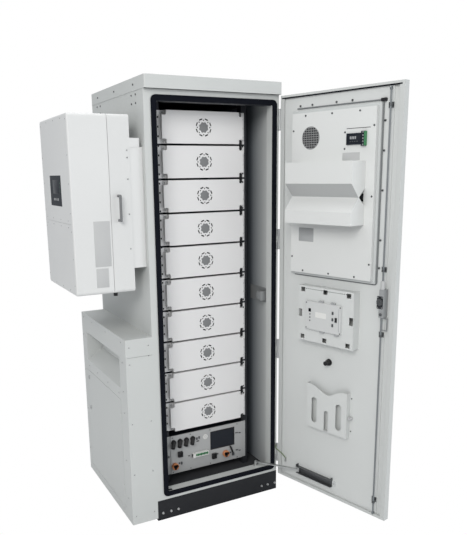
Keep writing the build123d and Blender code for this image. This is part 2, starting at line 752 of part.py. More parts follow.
def make_fan_motor():
    """The fan's motor on the liner, with the stub shaft that carries the rotor."""
    motor = rod(GRILLE_S, FAN_BACK + 2.0, GRILLE_Z, FAN_HUB_R, LINER_FACE - FAN_BACK - 2.0, "Y")
    shaft = rod(GRILLE_S, FAN_BACK - FAN_DEPTH + 2.0, GRILLE_Z, FAN_SHAFT_R, FAN_DEPTH + 1.0, "Y")
    return on_door(motor + shaft)


def make_fan():
    """The rotor: a hub with pitched blades."""
    hub = rod(0, FAN_BACK - FAN_DEPTH, 0, FAN_HUB_R, FAN_DEPTH, "Y")
    rotor = hub
    for blade in range(FAN_BLADES):
        vane = Pos(0, FAN_BACK - FAN_DEPTH / 2, (FAN_R + FAN_HUB_R) / 2 - 2)
        vane = vane * Rotation(0, 0, 32) * Box(30, 1.6, FAN_R - FAN_HUB_R + 4)
        rotor += Rotation(0, 360 * blade / FAN_BLADES, 0) * vane
    rotor &= rod(0, FAN_BACK - FAN_DEPTH, 0, FAN_R, FAN_DEPTH, "Y")
    rotor -= rod(0, FAN_BACK - FAN_DEPTH + 1.5, 0, FAN_SHAFT_R + BORE_GAP, FAN_DEPTH, "Y")
    return on_door(Pos(GRILLE_S, 0, GRILLE_Z) * rotor)


def hood_outline(inset, back):
    """The hood's side view: out, down, in to the waist, out again and down to the open mouth."""
    face = CASING_FACE - HOOD_PROUD + inset
    waist = CASING_FACE - HOOD_WAIST + inset
    mouth = HOOD_BOTTOM - (10.0 if inset else 0.0)
    return [(back, HOOD_TOP - inset), (face, HOOD_TOP - inset), (face, HOOD_UPPER), (waist, HOOD_CREASE),
            (face, HOOD_LOWER), (face, mouth), (back, mouth)]


def make_hood():
    """The folded duct hood: two air scoops in one sheet, open below and at the waist's sides."""
    outer = prism_x(hood_outline(0.0, CASING_FACE), HOOD_LEFT, HOOD_RIGHT)
    inner = prism_x(hood_outline(BOX_SHEET, CASING_FACE + 1), HOOD_LEFT + BOX_SHEET, HOOD_RIGHT - BOX_SHEET)
    waist = CASING_FACE - HOOD_WAIST + 2 * BOX_SHEET
    bite = [(waist, HOOD_CREASE), (CASING_FACE + 1, HOOD_CREASE + HOOD_NOTCH_H),
            (CASING_FACE + 1, HOOD_CREASE - HOOD_NOTCH_H)]
    return on_door(outer - inner - prism_x(bite, HOOD_LEFT - 1, HOOD_RIGHT + 1))


def make_outer_unit():
    """The air conditioner's outdoor half on the door's front, louvred above and below."""
    m = OUTER_MARGIN
    s0, s1, z0, z1 = CASING_LEFT - m, CASING_RIGHT + m, CASING_BOTTOM - m, CASING_TOP + m
    shell = block(s0, s1, DOOR_T, DOOR_T + OUTER_PROUD, z0, z1)
    front = shell.faces().sort_by(Axis.Y)[-1]
    shell = chamfer(front.edges(), OUTER_CHAMFER)
    face = DOOR_T + OUTER_PROUD
    for bank in (z0 + LOUVRE_INSET, z1 - LOUVRE_INSET - (LOUVRES - 1) * LOUVRE_PITCH):
        for row in range(LOUVRES):
            z = bank + row * LOUVRE_PITCH
            slit = [(face + 1, z - LOUVRE_H / 2), (face + 1, z + LOUVRE_H / 2),
                    (face - LOUVRE_H, z + LOUVRE_H)]
            shell -= prism_x(slit, s0 + LOUVRE_INSET, s1 - LOUVRE_INSET)
    return on_door(shell)


def make_controller():
    """The air conditioner's controller: a dark bezel and display beside a terminal block."""
    half_w, half_h = DISPLAY_W / 2, DISPLAY_H / 2
    body = block(DISPLAY_S - half_w, DISPLAY_S + half_w, CASING_FACE - 7, CASING_FACE,
                 DISPLAY_Z - half_h, DISPLAY_Z + half_h)
    body -= block(DISPLAY_S - half_w + 8, DISPLAY_S + half_w - 8, CASING_FACE - 8, CASING_FACE - 5,
                  DISPLAY_Z - half_h + 8, DISPLAY_Z + half_h - 8)
    strip = block(DISPLAY_S + half_w + 0.5, DISPLAY_S + half_w + 22, CASING_FACE - 13, CASING_FACE,
                  DISPLAY_Z - half_h - 7, DISPLAY_Z + half_h + 7)
    return on_door(Compound(children=[body, strip]))


def make_door_cable():
    """The controller cable clipped round the air conditioner, whole from end to end."""
    y = LINER_FACE - CABLE_R
    left, right = CASING_LEFT + 10, CASING_RIGHT + CABLE_GAP
    bottom, top = CASING_BOTTOM - CABLE_GAP, CASING_TOP + CABLE_GAP + 8
    corners = [(left, y, top), (right, y, top), (right, y, bottom), (left, y, bottom)]
    path = FilletPolyline(*corners, radius=CABLE_BEND)
    start = Plane(origin=corners[0], z_dir=(1, 0, 0))
    return on_door(sweep(start * Circle(CABLE_R), path))


def make_hub_box():
    """The square utility box with eight cable windows round its edge."""
    s0, s1 = HUB_BOX_S - HUB_BOX_W / 2, HUB_BOX_S + HUB_BOX_W / 2
    z0, z1 = HUB_BOX_Z - HUB_BOX_H / 2, HUB_BOX_Z + HUB_BOX_H / 2
    box = tray(s0, s1, HUB_FACE, LINER_FACE, z0, z1, BOX_SHEET, "+Y")
    windows = [(x, z, HUB_HOLE_W, HUB_HOLE_H) for x in (-HUB_HOLE_X, 0, HUB_HOLE_X)
               for z in (-HUB_HOLE_Z, HUB_HOLE_Z)]
    windows += [(-HUB_SIDE_X, 0, HUB_HOLE_H, HUB_SIDE_H), (HUB_SIDE_X, 0, HUB_HOLE_H, HUB_SIDE_H)]
    for x, z, w, h in windows:
        box -= Pos(HUB_BOX_S + x, HUB_FACE, HUB_BOX_Z + z) * Box(w, 3 * BOX_SHEET, h)
    return on_door(box)


def rocker_pin(radius, length):
    """The rocker's pivot, across the hub just below its face."""
    start = HUB_BOX_S + ROCKER_S - length / 2
    return rod(start, HUB_FACE - HUB_T + ROCKER_AXIS, HUB_Z, radius, length, "X")


def make_hub():
    """The communication hub on the utility box, with a well for its rocker switch."""
    s0, s1 = HUB_BOX_S - 4 - HUB_W / 2, HUB_BOX_S - 4 + HUB_W / 2
    z0, z1 = HUB_Z - HUB_H / 2, HUB_Z + HUB_H / 2
    hub = block(s0, s1, HUB_FACE - HUB_T, HUB_FACE, z0, z1)
    hub = fillet(hub.edges().filter_by(lambda e: abs(e.center().Y - (HUB_FACE - HUB_T)) < 0.01), 3.0)
    well = Pos(HUB_BOX_S + ROCKER_S, HUB_FACE - HUB_T, HUB_Z)
    hub -= well * Box(ROCKER_W + 2 * ROCKER_GAP, 2 * ROCKER_DEEP, ROCKER_H + 2 * ROCKER_GAP)
    return on_door(hub - rocker_pin(ROCKER_PIN_R + BORE_GAP, ROCKER_W + 8))


def make_rocker():
    """The hub's rocker switch: a shallow wedge that tips about its middle."""
    h, y = ROCKER_H / 2, HUB_FACE - HUB_T
    points = [(y + ROCKER_SEAT, 0), (y, h), (y - 2.5, h), (y - 1.0, 0), (y - 2.5, -h), (y, -h)]
    body = Pos(HUB_BOX_S + ROCKER_S, 0, HUB_Z) * prism_x(points, -ROCKER_W / 2, ROCKER_W / 2)
    return on_door(body + rocker_pin(ROCKER_PIN_R, ROCKER_W + 6))


def make_gland():
    """A cable gland through the door's inner panel: flange, hexagon nut and domed cap."""
    face = LINER_FACE
    gland = rod(GLAND_S, face - 6, GLAND_Z, GLAND_R, 6, "Y")
    nut = Plane(origin=(GLAND_S, face - 6, GLAND_Z), x_dir=(1, 0, 0), z_dir=(0, -1, 0)) * RegularPolygon(14, 6)
    gland += extrude(nut, 14)
    gland += rod(GLAND_S, face - 34, GLAND_Z, 11, 14, "Y")
    return on_door(gland)


def make_pocket():
    """The document pocket: a folded front with a dipped rim and three finger slots."""
    face = LINER_FACE - POCKET_PROUD
    s0, s1, z0, z1 = POCKET_LEFT, POCKET_RIGHT, POCKET_BOTTOM, POCKET_TOP
    pocket = block(s0, s1, face, LINER_FACE, z0, z1)
    pocket -= block(s0 + BOX_SHEET, s1 - BOX_SHEET, face + BOX_SHEET, LINER_FACE + 1, z0 + BOX_SHEET, z1 + 1)
    mid = (s0 + s1) / 2
    reach = (s1 - s0) * 0.4
    left, right = mid - reach, mid + reach
    rim = Spline((left, z1), (mid + 10, z1 - POCKET_DIP), (right, z1), tangents=((1, -0.2), (1, 0.2)))
    dip = make_face(rim + Polyline((right, z1), (right, z1 + 1), (left, z1 + 1), (left, z1)))
    pocket -= Pos(0, face - 1, 0) * extrude(Plane.XZ * dip, -(BOX_SHEET + 2))
    slots = [(mid - POCKET_SLOT_PITCH, z0 + POCKET_SLOT_RISE, POCKET_SLOT_W, POCKET_SLOT_H),
             (mid, z0 - POCKET_SLOT_W, POCKET_SLOT_W * 0.75, POCKET_SLOT_H + 10),
             (mid + POCKET_SLOT_PITCH, z0 + POCKET_SLOT_RISE, POCKET_SLOT_W, POCKET_SLOT_H)]
    for s, bottom, w, h in slots:
        plane = Plane(origin=(s, face - 1, bottom + h / 2), x_dir=(1, 0, 0), z_dir=(0, -1, 0))
        pocket -= extrude(plane * RectangleRounded(w, h, w / 2 - 0.5), -(BOX_SHEET + 2))
    return on_door(pocket)


# ---- door stay ----
def make_channel():
    """The stay's channel on the door, open to the cabinet, with a fixing ear at each end."""
    z0, z1 = STAY_Z - CHANNEL_H / 2, STAY_Z + CHANNEL_H / 2
    face = LINER_FACE - CHANNEL_PROUD
    channel = block(CHANNEL_START, CHANNEL_END, face, LINER_FACE, z0, z1)
    channel -= block(CHANNEL_START - 1, CHANNEL_END + 1, face - 1, LINER_FACE - 2, z0 + 2, z1 - 2)
    for s in (CHANNEL_START, CHANNEL_END - 3):
        channel += block(s, s + 3, face, LINER_FACE, z1, z1 + 12)
    return on_door(channel)


def make_stay_bracket():
    """The pivot post of the stay, standing on the sill."""
    foot = block(STAY_X - 14, STAY_X + 14, STAY_Y - 10, STAY_Y + 8, OPEN_BOTTOM, OPEN_BOTTOM + 3)
    post = rod(STAY_X, STAY_Y, OPEN_BOTTOM, 8, STAY_Z - STAY_BAR_T / 2 - STAY_SHIM - OPEN_BOTTOM)
    pin = rod(STAY_X, STAY_Y, OPEN_BOTTOM, STAY_PIN_R, STAY_Z + STAY_BAR_T / 2 + 3 - OPEN_BOTTOM)
    return foot + post + pin


def stay_tip():
    """Where the stay's roller sits in the channel while the door stands open."""
    turn = radians(DOOR_ANGLE - 180)
    return (PIVOT_X + STAY_REACH * cos(turn) - STAY_LINE * sin(turn),
            PIVOT_Y + STAY_REACH * sin(turn) + STAY_LINE * cos(turn))


def make_stay_arm():
    """The flat bar of the stay, bored at the pivot, with a roller standing at its tip."""
    tip = stay_tip()
    dx, dy = tip[0] - STAY_X, tip[1] - STAY_Y
    length = sqrt(dx * dx + dy * dy)
    bar = Pos(length / 2, 0, 0) * Box(length, STAY_BAR_W, STAY_BAR_T)
    bar += Cylinder(STAY_BAR_W / 2, STAY_BAR_T)
    bar += Pos(length, 0, 0) * Cylinder(ROLLER_R, STAY_ROLLER_H)
    bar -= Cylinder(STAY_PIN_R + BORE_GAP, 2 * STAY_BAR_T)
    heading = Vector(1, 0, 0).get_signed_angle(Vector(dx, dy, 0), Vector(0, 0, 1))
    return Pos(STAY_X, STAY_Y, STAY_Z) * Rotation(0, 0, heading) * bar


# ---- lock ----
def make_rod(direction):
    """One lock rod: plain bar into the gearbox, grooved wheel at its far end."""
    end = ROD_TOP if direction > 0 else ROD_BOTTOM
    near = LOCK_Z + direction * ROD_INNER
    bar = rod(ROD_S, ROD_LINE, min(near, end), ROD_R, abs(end - near))
    return on_door(bar + rod(ROD_S - WHEEL_T / 2, ROD_LINE, end, WHEEL_R, WHEEL_T, "X"))


def make_guides():
    """Brackets that hold each rod off the inner panel, bored to let it slide."""
    guides = []
    for z in (GUIDE_BOTTOM, LOCK_Z - GUIDE_NEAR, LOCK_Z + GUIDE_NEAR, GUIDE_TOP):
        foot = block(ROD_S - 26, ROD_S, LINER_FACE - 2, LINER_FACE, z - 12, z + 12)
        stem = block(ROD_S - 9, ROD_S - 6, ROD_LINE, LINER_FACE - 2, z - 5, z + 5)
        eye = rod(ROD_S, ROD_LINE, z - 5, ROD_R + 3.5, 10)
        guides.append(foot + stem + eye - rod(ROD_S, ROD_LINE, z - 6, ROD_R + BORE_GAP, 12))
    return on_door(Compound(children=guides))


def make_lock_case():
    """The lock's gearbox, bored for both rods and the shaft, with the lift loop below it."""
    z0, z1 = LOCK_Z - LOCK_H / 2, LOCK_Z + LOCK_H / 2
    s0, s1 = ROD_S - LOCK_W / 2, ROD_S + LOCK_W / 2
    case = block(s0, s1, LOCK_FACE, LINER_FACE, z0, z1)
    for start in (z0, z1 - LOCK_BORE):
        case -= rod(ROD_S, ROD_LINE, start, ROD_R + BORE_GAP, LOCK_BORE)
    case -= rod(ROD_S, ROD_LINE, LOCK_Z, SHAFT_R + BORE_GAP, LINER_FACE - ROD_LINE, "Y")
    z0, z1 = LOCK_Z - LOOP_FAR, LOCK_Z - LOOP_NEAR
    s0, s1 = ROD_S - LOOP_W / 2, ROD_S + LOOP_W / 2
    loop = block(s0, s1, LINER_FACE - 5, LINER_FACE, z0, z1)
    loop -= block(s0 + 4, s1 - 4, LINER_FACE - 6, LINER_FACE + 1, z0 + 4, z1 - 4)
    return on_door(Compound(children=[case, loop]))


def make_handle():
    """The outside wing handle and its shaft through the door into the gearbox."""
    outside = DOOR_T + SEAT_GAP
    rose = rod(ROD_S, outside, LOCK_Z, ROSE_R, ROSE_T, "Y")
    wing = block(ROD_S - HANDLE_W / 2, ROD_S + HANDLE_W / 2, outside + ROSE_T, outside + HANDLE_OUT,
                 LOCK_Z - HANDLE_L, LOCK_Z + HANDLE_W)
    wing = fillet(wing.edges().filter_by(Axis.Y), HANDLE_W / 2 - 1)
    shaft = rod(ROD_S, ROD_LINE + SEAT_GAP, LOCK_Z, SHAFT_R, outside - ROD_LINE, "Y")
    return on_door(rose + wing + shaft)


# ---- cable box low on the left side ----
def cover_hinge(spans):
    """Knuckles on the side cover's hinge axis, each span a (start, length) above its foot."""
    return [rod(COVER_AXIS_X, COVER_AXIS_Y, z + start, COVER_BARREL_R, length)
            for z in COVER_HINGE_Z for start, length in spans]


def make_cable_box():
    """The side box: a sheet case with an air inlet in its flank and a door-sized port below."""
    s = BOX_SHEET
    x0, x1 = BOX_OUT, -HALF
    box = block(x0, x1, 0, BOX_DEPTH, BOX_BOTTOM, BOX_TOP)
    box -= block(x0 + s, x1 - s, s, BOX_DEPTH - s, BOX_BOTTOM + s, INLET_BOTTOM - s)
    # the inlet is a pocket whose floor falls outwards so that rain runs off
    pocket = [(x0 - 1, INLET_BOTTOM), (x0, INLET_BOTTOM), (x0 + INLET_DEPTH, INLET_BOTTOM + INLET_SLOPE),
              (x0 + INLET_DEPTH, INLET_TOP), (x0 - 1, INLET_TOP)]
    box -= prism_y(pocket, INLET_FRONT, INLET_REAR)
    box -= block(x0 - 1, x0 + s + 1, COVER_FRONT, COVER_REAR, COVER_BOTTOM, COVER_TOP)
    # the cap seam runs across the front under the box's lid
    box -= block(x0 + s, x1 + 1, -1, SEAM, BOX_TOP - CAP_H - SEAM, BOX_TOP - CAP_H)
    for barrel in cover_hinge(((0, COVER_KNUCKLE), (2 * COVER_KNUCKLE, COVER_KNUCKLE))):
        box += barrel
    leaf = block(x0 - 1, x0, COVER_FRONT - 8, COVER_FRONT, 0, 3 * COVER_KNUCKLE)
    arm = block(x0 - 1, x0, COVER_FRONT - 8, COVER_AXIS_Y, 0, COVER_KNUCKLE)
    for z in COVER_HINGE_Z:
        box += Pos(0, 0, z) * (leaf + arm + Pos(0, 0, 2 * COVER_KNUCKLE) * arm)
        box += rod(COVER_AXIS_X, COVER_AXIS_Y, z, COVER_PIN_R, 3 * COVER_KNUCKLE)
    return box


def make_side_cover():
    """The flush cover in the box's flank, bored for its two quarter-turn latches."""
    x0 = BOX_OUT
    cover = block(x0, x0 + COVER_T, COVER_AXIS_Y + SEAT_GAP, COVER_REAR - COVER_GAP,
                  COVER_BOTTOM + COVER_GAP, COVER_TOP - COVER_GAP)
    for z in COVER_HINGE_Z:
        for start in (0, 2 * COVER_KNUCKLE):
            cover -= block(x0 - 1, x0 + COVER_T + 1, COVER_AXIS_Y, COVER_AXIS_Y + COVER_BARREL_R + SEAT_GAP,
                           z + start - SEAT_GAP, z + start + COVER_KNUCKLE + SEAT_GAP)
    middle = ((COVER_KNUCKLE + SEAT_GAP, COVER_KNUCKLE - 2 * SEAT_GAP),)
    for barrel in cover_hinge(middle):
        cover += barrel
    cover -= rod(COVER_AXIS_X, COVER_AXIS_Y, COVER_BOTTOM, COVER_PIN_R + BORE_GAP, COVER_TOP - COVER_BOTTOM)
    for z in LATCH_Z:
        cover -= rod(x0 - 1, LATCH_Y, z, LATCH_SHAFT_R + BORE_GAP, COVER_T + 2, "X")
    return cover


def make_latch(index):
    """A quarter-turn latch: slotted head outside, shaft through the cover, tongue inside."""
    z = LATCH_Z[index]
    x0 = BOX_OUT
    head = rod(x0 - 3.0, LATCH_Y, z, LATCH_R, 3.0 - SEAT_GAP, "X")
    head -= Pos(x0 - 3.0, LATCH_Y, z) * Box(2.4, 2.0, 1.5 * LATCH_R)
    shaft = rod(x0 - 0.5, LATCH_Y, z, LATCH_SHAFT_R, COVER_T + 8, "X")
    tongue_x = x0 + COVER_T + SEAT_GAP
    tongue = block(tongue_x, tongue_x + 3, LATCH_Y - 7, LATCH_Y + LATCH_TONGUE, z - 7, z + 7)
    return head + shaft + tongue


# ---- inverter on the left side ----
def make_inverter_chassis():
    """The rear half of the inverter with a carrying grip on each flank."""
    body = block(-INV_SEAM, -INV_BACK, INV_FRONT, INV_REAR, INV_BOTTOM, INV_TOP)
    body = fillet(body.edges().filter_by(Axis.X), INV_R)
    half = GRIP_L / 2
    grip = rod(0, GRIP_OUT, -half, GRIP_R, GRIP_L)
    for z in (-half, half):
        grip += rod(0, -1, z, GRIP_R, GRIP_OUT + 1, "Y") + Pos(0, GRIP_OUT, z) * Sphere(GRIP_R)
    body += Pos(GRIP_X, INV_REAR, GRIP_Z) * grip
    return body + Pos(GRIP_X, INV_FRONT, GRIP_Z) * Rotation(0, 0, 180) * grip


def make_inverter_cover():
    """The moulded front half: rounded edges, a lower cover seam and the display window."""
    cover = block(-INV_OUT, -INV_SEAM - INV_GROOVE, INV_FRONT, INV_REAR, INV_BOTTOM, INV_TOP)
    cover = fillet(cover.edges().filter_by(Axis.X), INV_R)
    rim = cover.faces().sort_by(Axis.X)[0].edges()
    cover = fillet(rim, INV_EDGE_R)
    neck = block(-INV_SEAM - INV_GROOVE, -INV_SEAM, INV_FRONT + 4, INV_REAR - 4, INV_BOTTOM + 4, INV_TOP - 4)
    cover += neck
    cover -= block(-INV_OUT - 1, -INV_OUT + 1.5, INV_FRONT - 1, INV_REAR + 1,
                   LOWER_COVER_TOP - 1, LOWER_COVER_TOP + 1)
    cover -= Pos(-INV_OUT, LCD_Y, LCD_Z) * Box(5.0, LCD_W, LCD_H)
    return cover


def make_inverter_display():
    """The dark display pane set in the cover's window."""
    edge = 0.3
    return Pos(-INV_OUT + 1.5, LCD_Y, LCD_Z) * Box(2.0, LCD_W - 2 * edge, LCD_H - 2 * edge)


def make_inverter_bracket():
    """The mount between inverter and wall: two plates and two cheeks, open above and below
    as an air shaft, with a lug on the front cheek."""
    x0, x1 = -INV_BACK, -HALF
    y0, y1 = INV_FRONT + SHEET, INV_REAR - SHEET
    shaft = block(x0, x1, y0, y1, BRACKET_BOTTOM, BRACKET_TOP)
    shaft -= block(x0 + BRACKET_T, x1 - BRACKET_T, y0 + BRACKET_T, y1 - BRACKET_T,
                   BRACKET_BOTTOM - 1, BRACKET_TOP + 1)
    # the front cheek stands a seam's width clear of the wall
    shaft -= block(x1 - BRACKET_T, x1 + 1, y0 - 1, y0 + BRACKET_T - 1, BRACKET_BOTTOM - 1, BRACKET_TOP + 1)
    return shaft + block(x0, x0 + LUG_W, y0 - SHEET, y0, BRACKET_TOP, BRACKET_TOP + LUG_H) + block(
        x0, x0 + LUG_W, y0, y0 + BRACKET_T, BRACKET_TOP - 1, BRACKET_TOP + LUG_H)


def make_inverter_glands():
    """The row of cable glands under the inverter."""
    pitch = (INV_REAR - INV_FRONT) / (INV_GLANDS + 1)
    glands = []
    for index in range(INV_GLANDS):
        y = INV_FRONT + pitch * (index + 1)
        gland = rod(GRIP_X, y, INV_BOTTOM - INV_GLAND_L, INV_GLAND_R * 0.75, INV_GLAND_L)
        gland += rod(GRIP_X, y, INV_BOTTOM - INV_GLAND_L * 0.55, INV_GLAND_R, INV_GLAND_L * 0.55)
        glands.append(gland)
    return Compound(children=glands)


def make_wall_bracket():
    """The bracket and small switch case on the right wall that the door's harness lands on."""
    wall = HALF - PANEL_T
    plate = block(wall - BRACKET_PLATE_T, wall, LANDING_FRONT, LANDING_REAR, LANDING_BOTTOM, LANDING_TOP)
    z0, z1 = LANDING_BOTTOM + LANDING_EDGE, LANDING_TOP - LANDING_EDGE
    arm = block(wall - LANDING_REACH, wall - BRACKET_PLATE_T, LANDING_FRONT, LANDING_FRONT + BRACKET_T, z0, z1)
    case = block(wall - LANDING_REACH, wall - LANDING_REACH + SWITCH_W, LANDING_FRONT + BRACKET_T,
                 LANDING_FRONT + BRACKET_T + SWITCH_DEPTH, z0 + BRACKET_T, z1 - BRACKET_T)
    return plate + arm + case


NODES = {
    "plinth": make_plinth(),
    "floor_and_top": make_floor_and_top(),
    "side_panels": Compound(children=[make_side_panel(-1), make_side_panel(1)]),
    "rear_panel": make_rear_panel(),
    "front_frame": make_front_frame(),
    "roof_cover": make_roof(),
    "door_gasket": make_gasket(),
    "rack_frame": Compound(children=make_posts() + make_ties()),
    "module_runners": make_runners(),
    "control_box_case": make_control_case(),
    "control_panel": make_control_panel(),
    "control_screen": make_screen(),
    "battery_plugs": make_battery_plugs(),
    "control_ports": make_control_ports(),
    "start_button": make_start_button(),
    "hinges_frame": make_frame_hinges(),
    "wall_bracket": make_wall_bracket(),
    "stay_bracket": make_stay_bracket(),
    "stay_arm": make_stay_arm(),
    "cable_box": make_cable_box(),
    "side_cover": make_side_cover(),
    "side_latch_lower": make_latch(0),
    "side_latch_upper": make_latch(1),
    "inverter_chassis": make_inverter_chassis(),
    "inverter_cover": make_inverter_cover(),
    "inverter_display": make_inverter_display(),
    "inverter_bracket": make_inverter_bracket(),
    "inverter_glands": make_inverter_glands(),
    "hinges_door": make_door_hinges(),
    "door_pan": make_door_pan(),
    "door_liner": make_door_liner(),
    "ac_casing": make_casing(),
    "ac_grille": make_grille(),
    "ac_fan_motor": make_fan_motor(),
    "ac_fan": make_fan(),
    "ac_hood": make_hood(),
    "ac_outer_unit": make_outer_unit(),
    "ac_controller": make_controller(),
    "door_cable": make_door_cable(),
    "hub_box": make_hub_box(),
    "hub": make_hub(),
    "hub_rocker": make_rocker(),
    "cable_gland": make_gland(),
    "document_pocket": make_pocket(),
    "stay_channel": make_channel(),
    "rod_guides": make_guides(),
    "lock_case": make_lock_case(),
    "lock_handle": make_handle(),
    "lock_rod_upper": make_rod(1),
    "lock_rod_lower": make_rod(-1),
}
for number in range(MODULE_COUNT):
    NODES[f"module_{number + 1:02d}"] = make_module(number)

os.makedirs("parts", exist_ok=True)
for name, shape in NODES.items():
    centred = Pos(0, -CENTRE_Y, 0) * shape
    export_step(centred, f"parts/{name}.step")
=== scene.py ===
import json
from math import cos, pi, radians, sin
import bpy
import numpy as np
from mathutils import Matrix, Vector


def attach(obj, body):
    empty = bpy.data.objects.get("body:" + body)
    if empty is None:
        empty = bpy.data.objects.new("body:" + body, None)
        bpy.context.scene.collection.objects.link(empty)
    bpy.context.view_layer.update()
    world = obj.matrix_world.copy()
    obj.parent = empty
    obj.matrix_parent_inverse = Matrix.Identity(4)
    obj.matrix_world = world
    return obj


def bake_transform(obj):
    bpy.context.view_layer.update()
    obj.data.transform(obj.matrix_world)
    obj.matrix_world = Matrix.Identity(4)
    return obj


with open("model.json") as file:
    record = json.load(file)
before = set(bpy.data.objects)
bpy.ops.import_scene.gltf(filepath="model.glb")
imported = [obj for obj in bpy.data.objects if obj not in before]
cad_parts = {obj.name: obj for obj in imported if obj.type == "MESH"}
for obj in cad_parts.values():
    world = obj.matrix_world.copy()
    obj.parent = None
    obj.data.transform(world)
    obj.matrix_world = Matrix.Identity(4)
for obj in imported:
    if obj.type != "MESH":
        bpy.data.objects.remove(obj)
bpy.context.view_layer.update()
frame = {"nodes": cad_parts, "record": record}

nodes = frame["nodes"]

# ---- camera ----
# Standing at the cabinet's front left, at about eye height, looking slightly down.
yaw, pitch, roll = radians(27.3), radians(12.4), radians(-0.8)
ahead = Vector((sin(yaw) * cos(pitch), cos(yaw) * cos(pitch), -sin(pitch)))
across = Vector((cos(yaw), -sin(yaw), 0.0))
above = across.cross(ahead)
side = cos(roll) * across + sin(roll) * above
top = cos(roll) * above - sin(roll) * across
camera_data = bpy.data.cameras.new("camera")
camera_data.lens = 42.0
camera_data.shift_x = 0.0327
camera_data.shift_y = 0.0822
camera_data.clip_end = 60.0
camera = bpy.data.objects.new("camera", camera_data)
bpy.context.scene.collection.objects.link(camera)
turn = Matrix((side, top, -ahead)).transposed()
camera.matrix_world = Matrix.Translation((-1.4146, -3.1101, 1.7382)) @ turn.to_4x4()
bpy.context.scene.camera = camera
bpy.context.scene.view_settings.view_transform = "Standard"

# ---- floor and studio light ----
# A pale floor that the camera sees as white, a broad key from the front left, a softer
# fill from the front right and a top light.
floor_mesh = bpy.data.meshes.new("floor")
half = 14
floor_mesh.from_pydata([(-half, -half, 0), (half, -half, 0), (half, half, 0), (-half, half, 0)], [],
                       [(0, 1, 2, 3)])
floor_piece = bpy.data.objects.new("floor", floor_mesh)
bpy.context.scene.collection.objects.link(floor_piece)

floor_look = bpy.data.materials.new("floor")
floor_look.use_nodes = True
tree = floor_look.node_tree
tree.nodes.clear()
out = tree.nodes.new("ShaderNodeOutputMaterial")
matt = tree.nodes.new("ShaderNodeBsdfDiffuse")
matt.inputs["Color"].default_value = (0.80, 0.80, 0.80, 1)
glow = tree.nodes.new("ShaderNodeEmission")
glow.inputs["Color"].default_value = (1, 1, 1, 1)
paths = tree.nodes.new("ShaderNodeLightPath")
seen_by = tree.nodes.new("ShaderNodeMath")
seen_by.operation = "MAXIMUM"
tree.links.new(paths.outputs["Is Camera Ray"], seen_by.inputs[0])
tree.links.new(paths.outputs["Is Transmission Ray"], seen_by.inputs[1])
blend = tree.nodes.new("ShaderNodeMixShader")
tree.links.new(seen_by.outputs[0], blend.inputs[0])
tree.links.new(matt.outputs[0], blend.inputs[1])
tree.links.new(glow.outputs[0], blend.inputs[2])
tree.links.new(blend.outputs[0], out.inputs[0])
floor_mesh.materials.append(floor_look)

world = bpy.data.worlds.new("studio")
bpy.context.scene.world = world
world.use_nodes = True
tree = world.node_tree
tree.nodes.clear()
out = tree.nodes.new("ShaderNodeOutputWorld")
room = tree.nodes.new("ShaderNodeBackground")
room.inputs["Color"].default_value = (0.93, 0.96, 1.0, 1)
room.inputs["Strength"].default_value = 0.55
seen = tree.nodes.new("ShaderNodeBackground")
seen.inputs["Color"].default_value = (1, 1, 1, 1)
paths = tree.nodes.new("ShaderNodeLightPath")
blend = tree.nodes.new("ShaderNodeMixShader")
tree.links.new(paths.outputs["Is Camera Ray"], blend.inputs[0])
tree.links.new(room.outputs[0], blend.inputs[1])
tree.links.new(seen.outputs[0], blend.inputs[2])
tree.links.new(blend.outputs[0], out.inputs[0])


def area_light(name, place, target, size, power, colour):
    """A square soft box at place, facing target."""
    data = bpy.data.lights.new(name, "AREA")
    data.shape = "SQUARE"
    data.size = size
    data.energy = power
    data.color = colour
    light = bpy.data.objects.new(name, data)
    bpy.context.scene.collection.objects.link(light)
    light.location = place
    light.rotation_euler = (Vector(target) - Vector(place)).to_track_quat("-Z", "Y").to_euler()


area_light("key", (-3.6, -4.6, 4.2), (0, 0, 1.1), 2.6, 190, (1.0, 0.985, 0.96))
area_light("fill", (3.4, -5.2, 2.4), (0.2, -0.3, 1.1), 3.0, 70, (0.95, 0.98, 1.0))
area_light("over", (0.0, 0.6, 5.6), (0, 0, 0.5), 3.2, 90, (1, 1, 1))


